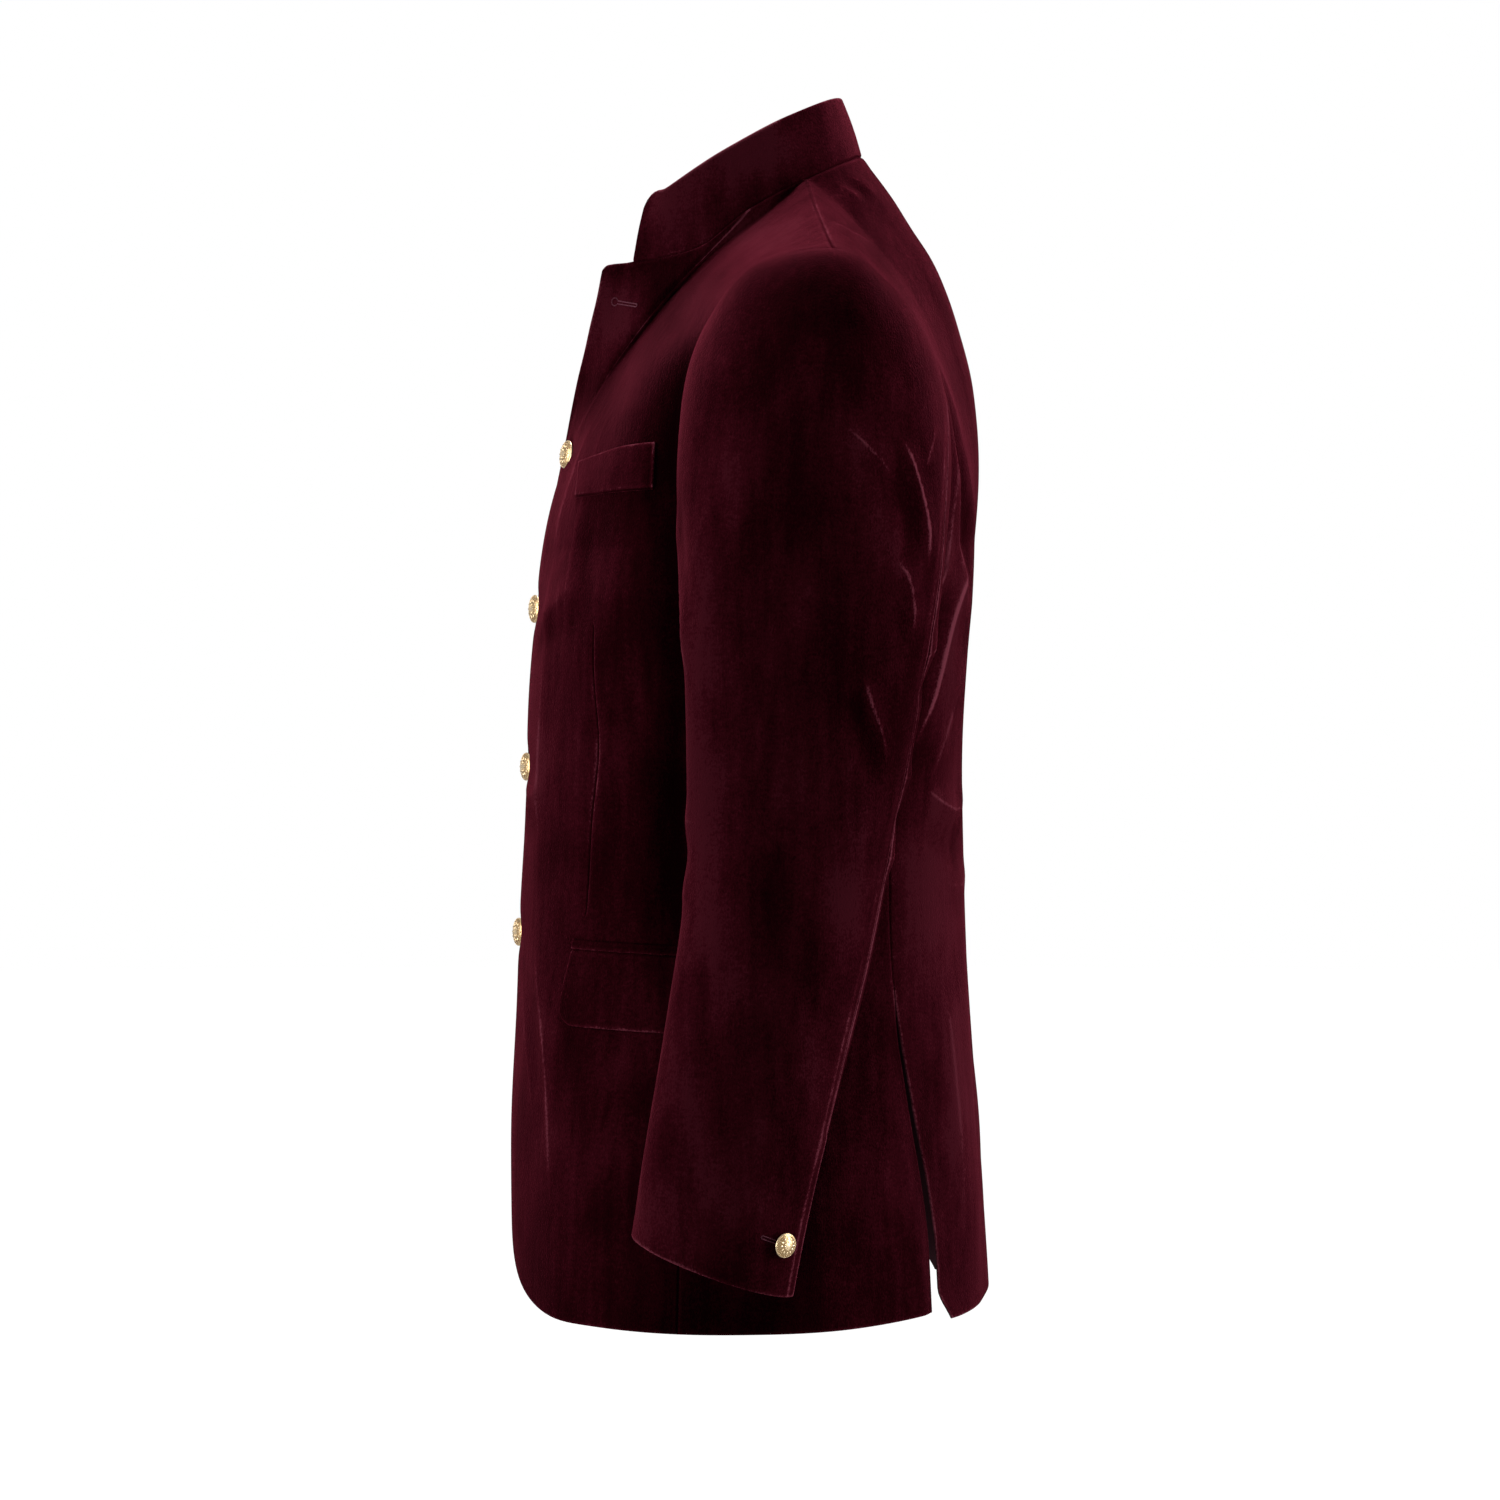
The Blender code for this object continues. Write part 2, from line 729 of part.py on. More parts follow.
def sleeve_rows():
    cap = (np.arange(CAP_ROWS) / CAP_ROWS) ** HEAD_GATHER
    arm = 1 + np.arange(SLEEVE_ROWS + 1) / SLEEVE_ROWS
    return np.concatenate([cap, arm])[::-1]


def make_sleeves():
    rows = sleeve_rows()
    spans = {
        "sleeve_top": (FRONT_SLEEVE_SEAM, 360 + HIND_SEAM),
        "sleeve_under": (HIND_SEAM, FRONT_SLEEVE_SEAM),
    }
    for name, (first, last) in spans.items():
        turns = np.arange(first, last + 1, ARM_STEP)
        points = drawn_in(sleeve_point(rows[:, None], turns[None, :]), columns=[0, -1])
        mesh = wall_mesh(points, CLOTH_WALL)
        new_object(name + "_left", mesh, VELVET)
        new_object(name + "_right", mirrored(mesh), VELVET)


def find_on(panel, y, z, up_from):
    """Where on a panel the points with this y and z are, as seen from the wearer's left."""
    across = np.full(np.shape(y), 0.5)
    up = np.full(np.shape(y), float(up_from))
    step = 1e-3
    for _ in range(12):
        here = panel_point(panel, across, up)[..., 1:]
        by_across = (panel_point(panel, across + step, up)[..., 1:] - here) / step
        by_up = (panel_point(panel, across, up + step)[..., 1:] - here) / step
        miss = np.stack([y, z], axis=-1) - here
        scale = by_across[..., 0] * by_up[..., 1] - by_across[..., 1] * by_up[..., 0]
        across = across + (miss[..., 0] * by_up[..., 1] - miss[..., 1] * by_up[..., 0]) / scale
        up = up + (by_across[..., 0] * miss[..., 1] - by_across[..., 1] * miss[..., 0]) / scale
    return across, up


def laid_on(points, wall, gap=LAID_GAP):
    """A closed wall lying outside the surface that its points were read from."""
    normals = normals_of(points)
    return wall_mesh(points + (wall + gap) * normals, wall, normals)


def make_welt():
    columns, rows = WELT_GRID
    across = np.linspace(0, 1, columns + 1)[None, :, None]
    up = np.linspace(0, 1, rows + 1)[:, None, None]
    (top_start, top_end), (low_start, low_end) = np.array(WELT_TOP), np.array(WELT_BOTTOM)
    places = mix(mix(low_start, low_end, across), mix(top_start, top_end, across), up)
    share, height = find_on(FRONT, places[..., 0], places[..., 1], 2.3)
    new_object("breast_welt", laid_on(panel_point(FRONT, share, height), FLAP_WALL), VELVET)


def hip_strip(top, bottom, slant, grid):
    """Lengths round the hip from the front and heights of a strip's points, and a function
    from length to turn. The front end moves forward by slant from the top to the bottom."""
    turns = np.radians(np.linspace(30, 110, 400))
    line = body_point(np.full(turns.shape, FLAP_TOP), turns)
    lengths = np.concatenate([[0], np.cumsum(np.linalg.norm(np.diff(line, axis=0), axis=1))])
    start = np.interp(FLAP_FRONT_Y, line[:, 1], lengths)
    columns, rows = grid
    down = np.linspace(1, 0, rows + 1)[:, None]
    along = np.linspace(0, 1, columns + 1)[None, :]
    first = start - slant * down
    length = mix(first, start + FLAP_LENGTH, along)
    height = mix(top, bottom, down) - FLAP_DROP * along
    return length, height, lambda at: np.interp(at, lengths, turns)


def make_hip_pockets():
    bottom = FLAP_TOP - FLAP_HEIGHT + FLAP_DROP
    length, height, turn_of = hip_strip(FLAP_TOP, bottom, FLAP_SLANT, FLAP_GRID)
    # The flap's two lower corners are rounded.
    ends = np.minimum(length - length[:, :1], length[:, -1:] - length)
    share = (FLAP_TOP - height[:, :1]) / (FLAP_TOP - bottom)
    height += FLAP_CORNER_RISE * share * np.clip(1 - ends / FLAP_CORNER, 0, 1) ** 2
    flap = laid_on(body_point(height, turn_of(length)), FLAP_WALL)
    low = FLAP_TOP + JETTING_GAP
    length, height, turn_of = hip_strip(low + JETTING_HEIGHT, low, 0, JETTING_GRID)
    jetting = laid_on(body_point(height, turn_of(length)), FLAP_WALL)
    for name, mesh in (("hip_flap", flap), ("hip_jetting", jetting)):
        new_object(name + "_left", mesh, VELVET)
        new_object(name + "_right", mirrored(mesh), VELVET)


def button_profile(diameter):
    """Radius and height of a domed button with a shank, from the cloth up."""
    radius = diameter / 2
    return (
        (0.0, 0.0),
        (SHANK_RADIUS, 0.0),
        (SHANK_RADIUS, SHANK_LENGTH),
        (0.86 * radius, SHANK_LENGTH),
        (0.97 * radius, 2.6),
        (radius, 3.2),
        (0.93 * radius, 3.9),
        (0.72 * radius, 4.9),
        (0.42 * radius, 5.8),
        (0.0, 6.2),
    )


def button_mesh(diameter, place, normal):
    """A turned button standing on the cloth at place, facing along normal."""
    normal = normal / np.linalg.norm(normal)
    side = np.cross([0, 0, 1], normal)
    side /= np.linalg.norm(side)
    over = np.cross(normal, side)
    profile = button_profile(diameter)
    vertices = [place + normal * profile[0][1]]
    for radius, height in profile[1:-1]:
        for step in range(BUTTON_SEGMENTS):
            angle = 2 * math.pi * step / BUTTON_SEGMENTS
            spoke = math.cos(angle) * side + math.sin(angle) * over
            vertices.append(place + normal * height + radius * spoke)
    vertices.append(place + normal * profile[-1][1])
    faces = []
    rings = len(profile) - 2
    for step in range(BUTTON_SEGMENTS):
        after = (step + 1) % BUTTON_SEGMENTS
        faces.append((0, 1 + after, 1 + step))
        for ring in range(rings - 1):
            low = 1 + ring * BUTTON_SEGMENTS
            high = low + BUTTON_SEGMENTS
            faces.append((low + step, low + after, high + after, high + step))
        last = 1 + (rings - 1) * BUTTON_SEGMENTS
        faces.append((last + step, last + after, len(vertices) - 1))
    return np.array(vertices), faces


def seat(surface, first, second):
    """A point of a surface function on the left side, and its normal away from the body."""
    step = 0.01
    here = surface(first, second)
    one = surface(first + step, second) - here
    other = surface(first, second + step) - here
    normal = np.cross(one, other)
    away = np.sign(normal @ np.array([here[0], here[1], 0]))
    return here, away * normal / np.linalg.norm(normal)


def up_at(panel, across, height):
    """How far up a panel its point at this height is, for one place across."""
    ups = np.linspace(0, 3, 601)
    return float(np.interp(height, panel_point(panel, across, ups)[..., 2], ups))


def make_buttons():
    tilt = math.radians(BUTTON_TILT)
    turned = np.array(
        [[math.cos(tilt), -math.sin(tilt), 0], [math.sin(tilt), math.cos(tilt), 0], [0, 0, 1]]
    )
    lift = BUTTON_GAP + SHANK_RADIUS * math.tan(tilt)
    for number, height in enumerate(FRONT_BUTTON_HEIGHTS, start=2):
        up = up_at(STAND, FRONT_BUTTON_ACROSS, height)
        place, normal = seat(lambda a, b: panel_point(STAND, a, b), FRONT_BUTTON_ACROSS, up)
        mesh = button_mesh(FRONT_BUTTON, place + lift * normal, turned @ normal)
        new_object(f"button_front_{number}", mesh, GOLD)
    place, normal = seat(lambda a, b: lapped(panel_point(STAND, a, b)), *TOP_BUTTON)
    mesh = button_mesh(FRONT_BUTTON, place + LAID_GAP * normal, normal)
    new_object("button_front_1", mirrored(mesh), GOLD)
    place, normal = seat(sleeve_point, CUFF_BUTTON_ALONG, float(CUFF_BUTTON_TURN))
    # The seat is read from the sleeve's true surface, and the flat facets lie just inside it.
    mesh = button_mesh(CUFF_BUTTON, place + CUFF_BUTTON_LIFT * normal, normal)
    new_object("button_cuff_left", mesh, GOLD)
    new_object("button_cuff_right", mirrored(mesh), GOLD)


def clear_scene():
    for item in list(bpy.data.objects):
        bpy.data.objects.remove(item)


clear_scene()
make_body("left", lambda points: points)
make_body("right", lapped)
make_collar()
make_sleeves()
make_welt()
make_hip_pockets()
make_buttons()
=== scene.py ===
# %% [markdown]
# # A velvet nehru jacket
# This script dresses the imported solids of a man's nehru jacket in dark burgundy velvet. The
# jacket keeps its worn form with nobody in it, so every opening is open. The solids already have
# the right cut, and this script gives them what a tailor and the wearer add: pressed and rounded
# edges, seams that sink into the pile, folds, buttonholes, metal buttons and the velvet itself.
# The front faces -Y, the wearer's left is +X and up is +Z.

import math

import bpy
import numpy as np
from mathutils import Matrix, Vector
from mathutils.bvhtree import BVHTree


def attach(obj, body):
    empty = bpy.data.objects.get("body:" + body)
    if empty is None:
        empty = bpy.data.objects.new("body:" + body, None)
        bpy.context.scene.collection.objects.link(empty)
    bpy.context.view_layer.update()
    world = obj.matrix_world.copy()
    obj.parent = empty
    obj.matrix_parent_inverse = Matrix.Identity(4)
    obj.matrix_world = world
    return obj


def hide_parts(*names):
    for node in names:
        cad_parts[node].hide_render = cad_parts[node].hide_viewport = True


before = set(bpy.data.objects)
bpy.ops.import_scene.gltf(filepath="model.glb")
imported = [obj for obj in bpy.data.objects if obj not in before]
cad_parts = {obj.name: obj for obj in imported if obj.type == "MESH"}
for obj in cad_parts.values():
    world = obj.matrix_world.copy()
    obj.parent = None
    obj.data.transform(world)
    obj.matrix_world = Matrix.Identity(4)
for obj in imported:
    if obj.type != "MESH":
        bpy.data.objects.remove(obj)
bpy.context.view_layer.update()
MM = 0.001
SIDES = ("left", "right")
FLIPPED = np.array([-1, 1, 1])

# %% [markdown]
# ## The form of the body
# A jacket body is a tube of cloth whose outline changes with height. Each row of the first
# table is one horizontal section of it: how far the front and the back reach, half its width,
# and how square its corners are. Smooth curves run through the rows. All the tables are in
# millimetres, and the meshes turn them into Blender's metres.

# %% Heights and widths that the panels share
HEM = -735.0
VENT_TOP = -517.0
CHEST = -275.0
BUTTON_STAND = 19.0
ROLL_X = 12.0
WIDEST_Y = 5.0
CLOTH_WALL = 2.0

BODY_SECTIONS = (
    # height, front y, back y, half width, front roundness, back roundness
    (-745, -157.5, 159.0, 211, 2.2, 2.3),
    (-657, -159.0, 155.0, 202, 2.2, 2.3),
    (-577, -157.0, 149.0, 190, 2.2, 2.4),
    (-510, -154.0, 144.5, 181, 2.2, 2.5),
    (-443, -151.0, 141.0, 177, 2.2, 2.6),
    (-377, -148.0, 140.0, 181, 2.2, 2.8),
    (-310, -145.0, 143.7, 190, 2.1, 3.0),
    (-275, -142.5, 146.5, 195, 2.0, 3.1),
)
print("body sections from", BODY_SECTIONS[0][0], "to", BODY_SECTIONS[-1][0], "mm")


# %% Smooth curves through a table
def hermite(start, leave, end, arrive, part):
    """A smooth curve from start to end, whose direction and speed are given at both."""
    rest = 1 - part
    return (
        (1 + 2 * part) * rest**2 * start
        + part * rest**2 * leave
        + (1 + 2 * rest) * part**2 * end
        - rest * part**2 * arrive
    )


def spline(keys, rows, at):
    """Points of the smooth curve through rows, one row for each key, at the places in at."""
    keys, rows, at = (np.asarray(values, float) for values in (keys, rows, at))
    slopes = np.gradient(rows, keys, axis=0)
    low = np.clip(np.searchsorted(keys, at, side="right") - 1, 0, len(keys) - 2)
    span = keys[low + 1] - keys[low]
    part = (at - keys[low]) / span
    if rows.ndim > 1:
        span, part = span[..., None], part[..., None]
    return hermite(rows[low], span * slopes[low], rows[low + 1], span * slopes[low + 1], part)


def table_spline(table, at):
    """A table read by its first column: one value for each other column."""
    table = np.asarray(table, float)
    rows = table[:, 1] if table.shape[1] == 2 else table[:, 1:]
    return spline(table[:, 0], rows, at)


def mix(start, end, share):
    return start + (end - start) * share


def ease(share):
    share = np.clip(share, 0, 1)
    return share * share * (3 - 2 * share)


def bell(distance, width):
    """A bell curve: 1 in the middle and about a third one width away from it."""
    return np.exp(-((distance / width) ** 2))


def unit(vectors):
    """Vectors with the same directions and a length of 1."""
    return vectors / np.linalg.norm(vectors, axis=-1, keepdims=True)


def rounding(inside):
    """How far a rounded corner has turned in, where inside goes from 0 to 1 at its end."""
    return 1 - np.sqrt(1 - 0.98 * inside**2)


# %% Points of the body by height and turn
def body_section(height):
    return np.moveaxis(table_spline(BODY_SECTIONS, height), -1, 0)


def body_point(height, turn):
    """A point of the body's outer face, turned from the centre front over the left side."""
    front, back, half, front_round, back_round = body_section(height)
    sine, cosine = np.sin(turn), np.cos(turn)
    power = 2 / np.where(cosine > 0, front_round, back_round)
    reach = np.where(cosine > 0, WIDEST_Y - front, back - WIDEST_Y)
    x = half * np.sign(sine) * np.abs(sine) ** power
    y = WIDEST_Y - np.sign(cosine) * reach * np.abs(cosine) ** power
    return np.stack([x, y, height + 0 * x], axis=-1)


def turn_at_x(height, x):
    """The turn at which the front of a section has this x."""
    _, _, half, front_round, _ = body_section(height)
    return np.sign(x) * np.arcsin((np.abs(x) / half) ** (front_round / 2))


def turn_at_y(height, y):
    """The turn at which the left side of a section has this y."""
    front, back, _, front_round, back_round = body_section(height)
    ahead = np.clip((WIDEST_Y - y) / (WIDEST_Y - front), 0, 1)
    behind = np.clip((y - WIDEST_Y) / (back - WIDEST_Y), 0, 1)
    front_turn = np.arccos(ahead ** (front_round / 2))
    back_turn = math.pi - np.arccos(behind ** (back_round / 2))
    return np.where(y < WIDEST_Y, front_turn, back_turn)


# %% [markdown]
# ## The seams and edges
# A panel is the cloth between two seams, so its shape is settled by the lines that it is sewn
# along. The tables below hold them: side seams, hems, the front edge with the fold line of the
# open corner, the neck line, and the armhole. Because a seam is one line that two panels share,
# they always meet.

# %% Seam and hem tables
HEM_LINE = (
    # turn from the centre front, height
    (0, -735), (45, -734), (80, -735), (105, -733), (130, -728), (145, -725),
)
BACK_HEM_LINE = (
    # turn from the centre front, height
    (125, -732), (145, -731), (165, -726), (180, -720),
)
FRONT_SEAM = (
    # height, y
    (-745, -46), (-443, -38), (-275, -27),
)
BACK_SEAM = (
    # height, y
    (-745, 119.5), (-675, 115.5), (-590, 102), (-517, 91), (-443, 89), (-350, 94), (-275, 100),
)
BACK_LINE = (
    # height, y at the centre back
    (-275, 146.5), (-230, 149.5), (-190, 150.5), (-150, 148.5), (-123, 145.5), (-97, 139.5),
    (-70, 131.5), (-47, 121.8), (-26, 109), (-5, 96.5), (24.7, 74.7),
)
EDGE_DRAW = 10.0
EDGE_DRAW_TOP = -570.0
EDGE_DRAW_HEIGHT = 90.0
CORNER_RISE = 95.0
CORNER_REACH = 178.0
CORNER_SHARPNESS = 2.2
VENT_SPREAD = 9.0
print("front seam", FRONT_SEAM[0], "to", FRONT_SEAM[-1])

# %% Open front, neck and armhole tables
LAPEL_SECTIONS = (
    # height, x and y at the front edge, then height, x and y at the roll line
    (-275, -19, -142.0, -275, 12, -142.3),
    (-230, -19, -137.0, -232, 11, -137.5),
    (-195, -19, -130.3, -198, 10, -131.0),
    (-166, -18, -124.5, -171, 11, -122.0),
    (-145, -10, -120.3, -146, 21, -111.5),
    (-123, 3, -115.2, -124, 39, -95.5),
    (-104, 14, -110.0, -105, 54, -82.0),
    (-88, 23.5, -106.0, -88, 64, -67.0),
    (-74, 30, -102.2, -67, 69, -50.0),
    (-61, 34.5, -99.3, -45, 73, -26.0),
    (-50.5, 38, -97.0, -17.5, 76, 0.0),
)
LAP_DEPTHS = (
    # height, how far the right front lies behind the left one at the centre
    (-745, 2.9), (-290, 2.9), (-240, 6.0), (-200, 8.5), (-165, 12.5), (-140, 12.5), (-115, 8.0),
    (-45, 3.0),
)
LAP_REACH = (26.0, 62.0)
NECK_LINE = (
    # place, x, y and z at the collar seam, then at the collar's upper edge
    ("corner", 38, -97.0, -50.5, 38, -97.0, -50.5),
    ("notch", 46, -77.5, -49.4, 43, -69.0, -9.0),
    ("gorge", 59, -55.0, -47.0, 55, -55.0, -1.0),
    ("side front", 70, -32.0, -41.0, 65, -38.0, 9.5),
    ("side", 76, 0.0, -17.5, 72, -15.0, 23.0),
    ("neck point", 75, 36.5, 2.0, 71, 18.5, 41.0),
    ("back", 46, 64.0, 17.0, 44, 49.0, 57.0),
    ("centre back", 0, 74.7, 24.7, 0, 61.0, 64.0),
)
ARMHOLE = (
    # turn from the shoulder over the back in degrees, x, y, z
    (0, 215, 52, -58),
    (30, 205, 85, -79),
    (60, 185, 111, -118),
    (90, 171, 122.5, -172),
    (110, 172, 119, -213),
    (135, 178, 100, -245),
    (180, 193, 38, -264),
    (225, 185, -23, -240),
    (250, 170, -41, -196),
    (277, 171, -38.5, -141),
    (307, 186, -23, -98),
    (337, 204, 7, -65.5),
)
SHOULDER_SAG = 3.0
print(len(ARMHOLE), "places round the armhole")


# %% Lines of the lower body
def edge_turn(height):
    """The front edge, which draws back a little where the hem's corner starts to round."""
    draw = EDGE_DRAW * ease((EDGE_DRAW_TOP - height) / EDGE_DRAW_HEIGHT)
    return turn_at_x(height, draw - BUTTON_STAND)


def roll_turn(height):
    return turn_at_x(height, ROLL_X + 0 * height)


def front_seam_turn(height):
    return turn_at_y(height, table_spline(FRONT_SEAM, height))


def back_seam_turn(height):
    return turn_at_y(height, table_spline(BACK_SEAM, height))


def vent_share(height):
    """0 at the vent's top and 1 at the hem."""
    return np.clip((VENT_TOP - height) / (VENT_TOP - HEM), 0, 1)


def vent_turn(height):
    """The back's side edge: the seam above the vent, and the spread edge of the flap below."""
    return turn_at_y(height, table_spline(BACK_SEAM, height) + VENT_SPREAD * vent_share(height))


def centre_back_turn(height):
    return math.pi + 0 * height


def front_hem(turn):
    """Hem height of the front and side, rising in a long round at the front corner."""
    x = body_point(HEM + 0 * turn, turn)[..., 0]
    rise = CORNER_RISE * np.clip(1 - (x + BUTTON_STAND) / CORNER_REACH, 0, 1) ** CORNER_SHARPNESS
    return table_spline(HEM_LINE, np.degrees(turn)) + rise


def back_hem(turn):
    return table_spline(BACK_HEM_LINE, np.degrees(turn))


# %% Lines of the armhole, neck and shoulder
def armhole_point(turn):
    """A point of the left armhole seam, by its turn in degrees from the shoulder over the back."""
    table = np.array(ARMHOLE, float)
    turns = np.concatenate([table[:, 0] - 360, table[:, 0], table[:, 0] + 360])
    return spline(turns, np.concatenate([table[:, 1:]] * 3), turn)


def neck_points(first, last, share, columns):
    """The neck line between two places, at shares of its length between them."""
    names = [row[0] for row in NECK_LINE]
    rows = np.array([row[1:] for row in NECK_LINE], float)
    # Beyond the centre back the line goes on as its own mirror, so that it is smooth there.
    rows = np.vstack([rows, rows[-2] * np.array([-1, 1, 1, -1, 1, 1])])
    steps = np.linalg.norm(np.diff(rows[:, :3], axis=0), axis=1)
    along = np.concatenate([[0], np.cumsum(steps)])
    start, end = along[names.index(first)], along[names.index(last)]
    return spline(along, rows[:, columns], mix(start, end, np.asarray(share, float)))


SEAM = slice(0, 3)
UPPER_EDGE = slice(3, 6)


def shoulder_point(share):
    """The shoulder seam from the neck point to the armhole, sagging a little between them."""
    neck = neck_points("neck point", "neck point", 0, SEAM)
    sag = SHOULDER_SAG * 4 * share * (1 - share)
    points = mix(neck, armhole_point(0), share[..., None])
    return points - sag[..., None] * np.array([0, 0, 1])


def centre_back_line(share):
    heights = mix(CHEST, BACK_LINE[-1][0], np.asarray(share, float))
    y = table_spline(BACK_LINE, heights)
    return np.stack([0 * y, y, heights], axis=-1)


def lapel_line(columns):
    """The front edge or the roll line from the chest up to the neck."""
    table = np.array(LAPEL_SECTIONS, float)
    share = (table[:, 0] - table[0, 0]) / (table[-1, 0] - table[0, 0])
    rows = table[:, columns]
    return lambda at: spline(share, rows, at)


# %% [markdown]
# ## The panels
# The lower half of a panel lies on the body sections. Its upper half fills the four lines round
# it, in the way that a soap film fills a bent wire: each pair of opposite lines is blended
# across, and the two blends are added. That gives a smooth chest and shoulder with few numbers.
# The panels are the turned-back strip along the front edge, the front, the side and the back.

# %% A panel from its four lines
ARM_JOIN = 0.15
STRIP_CORNER_SHARE = 1 / 6
CHEST_NECK_SHARE = 4 / 13
SHOULDER_SHARE = 9 / 16
CORNER_FADE = 5


def two_part(share, join, first, second):
    """One line from two that meet at share join."""
    share = np.asarray(share, float)
    lower = first(np.clip(share / join, 0, 1))
    upper = second(np.clip((share - join) / (1 - join), 0, 1))
    return np.where((share < join)[..., None], lower, upper)


def rounded(line, share):
    """A line with its inner corner rounded off and its two ends kept."""
    reach = 0.9 * share * (1 - share)
    return np.mean([line(share + reach * step) for step in np.linspace(-1, 1, 9)], axis=0)


def side_line(turn_of, corner_turn, tip_turn):
    """Up the seam from the chest to the armhole, then along the armhole to its last turn."""
    start = body_point(np.array(CHEST), turn_of(np.array(CHEST)))
    corner = armhole_point(corner_turn)
    return lambda share: two_part(
        share,
        ARM_JOIN,
        lambda part: mix(start, corner, part[..., None]),
        lambda part: armhole_point(mix(corner_turn, tip_turn, part)),
    )


def panel_point(panel, across, up):
    """A point of a panel: across from its first side (0) to its second (1), and up from the
    hem (0) to the vent top (1), the chest (2) and the panel's upper edge (3)."""
    first, second = panel["turns"]
    across, up = np.broadcast_arrays(np.asarray(across, float), np.asarray(up, float))
    low = np.full(across.shape, HEM)
    hem = panel["hem"](mix(first(low), second(low), across))
    height = np.where(up < 1, mix(hem, VENT_TOP, up), mix(VENT_TOP, CHEST, np.clip(up - 1, 0, 1)))
    lower = body_point(height, mix(first(height), second(height), across))
    part = np.clip(up - 2, 0, 1)
    blend = ease(part)[..., None]
    chest = np.full(across.shape, CHEST)
    start, end = first(chest), second(chest)
    base = body_point(chest, mix(start, end, across))
    top, left, right = panel["top"], panel["sides"][0], panel["sides"][1]
    nought, one = np.zeros(across.shape), np.ones(across.shape)
    from_first = left(part) - mix(body_point(chest, start), top(nought), blend)
    from_second = right(part) - mix(body_point(chest, end), top(one), blend)
    upper = mix(base, rounded(top, across), blend)
    # The upper edge's own corner fades out a little way below it.
    upper += (top(across) - rounded(top, across)) * part[..., None] ** CORNER_FADE
    upper += mix(from_first, from_second, across[..., None])
    return np.where((up > 2)[..., None], upper, lower)


# %% The four panels of one side
STRIP = {
    "turns": (edge_turn, roll_turn),
    "hem": front_hem,
    "sides": (lapel_line([1, 2, 0]), lapel_line([4, 5, 3])),
    "top": lambda share: two_part(
        share,
        STRIP_CORNER_SHARE,
        lambda part: neck_points("corner", "notch", part, SEAM),
        lambda part: neck_points("notch", "side", part, SEAM),
    ),
}
FRONT = {
    "turns": (roll_turn, front_seam_turn),
    "hem": front_hem,
    "sides": (lapel_line([4, 5, 3]), side_line(front_seam_turn, 225, 360)),
    "top": lambda share: two_part(
        share,
        CHEST_NECK_SHARE,
        lambda part: neck_points("side", "neck point", part, SEAM),
        shoulder_point,
    ),
}
SIDE = {
    "turns": (front_seam_turn, back_seam_turn),
    "hem": front_hem,
    "sides": (side_line(front_seam_turn, 225, 360), side_line(back_seam_turn, 135, 0)),
    "top": lambda share: armhole_point(mix(225, 135, share)),
}
BACK = {
    "turns": (vent_turn, centre_back_turn),
    "hem": back_hem,
    "sides": (side_line(back_seam_turn, 135, 0), centre_back_line),
    "top": lambda share: two_part(
        share,
        SHOULDER_SHARE,
        lambda part: shoulder_point(1 - part),
        lambda part: neck_points("neck point", "centre back", part, SEAM),
    ),
}
print("the neck seam meets the shoulder at", shoulder_point(np.array(0.0)).round(1))

# %% [markdown]
# ## Fine grids of cloth
# Each piece of cloth is a grid of points about 3 mm apart, fine enough for folds. Along a seam
# or an edge the points come much closer together, because there the cloth sinks into a narrow
# groove or rolls over a rounded edge. Distances along each row are measured in millimetres, so
# an edge has the same width wherever the panel gets wider.

# %% Spacing and measuring
EDGE_STEPS = np.array([0, 0.3, 0.75, 1.4, 2.2, 3.4])
DENSE = 260
# Length in millimetres and number of rows of each stretch of a panel, from the hem up.
SKIRT_ROWS, WAIST_ROWS, JOIN_ROWS, ARM_ROWS = (218, 66), (242, 72), (36, 10), (215, 66)


def spaced(length, count, first_edge=True, last_edge=True):
    """Distances along a line, close together at the ends that are seams or edges."""
    first = EDGE_STEPS if first_edge else EDGE_STEPS[:1]
    last = EDGE_STEPS if last_edge else EDGE_STEPS[:1]
    squeeze = min(1, 0.45 * length / EDGE_STEPS[-1] / 2)
    first, last = first * squeeze, last * squeeze
    middle = np.linspace(first[-1], length - last[-1], count + 1)
    return np.concatenate([first[:-1], middle, length - last[-2::-1]])


def shares_up(length, count, first_edge=True, last_edge=True):
    return spaced(length, count, first_edge, last_edge) / length


def lengths_along(points):
    """Distance of each point from the first one along the second-last axis."""
    steps = np.linalg.norm(np.diff(points, axis=-2), axis=-1)
    zero = np.zeros(steps.shape[:-1] + (1,))
    return np.concatenate([zero, np.cumsum(steps, axis=-1)], axis=-1)


def lengths_up(points):
    """Distance of each point of a grid from the first one in its column."""
    return lengths_along(np.swapaxes(points, 0, 1)).T


def on_line(line, distances):
    """Points of a line of points at set distances from its first one."""
    along = lengths_along(line)
    return np.stack([np.interp(distances, along, line[:, axis]) for axis in range(3)], axis=-1)


def side_distances(points):
    """Distances of all points from the grid's first and last column and row."""
    across, up = lengths_along(points), lengths_up(points)
    return {"first": across, "last": across[:, -1:] - across, "bottom": up, "top": up[-1:] - up}


def line_distance(points, column):
    """Distance of all points from one column, along their rows."""
    along = lengths_along(points)
    return np.abs(along - along[:, column : column + 1])


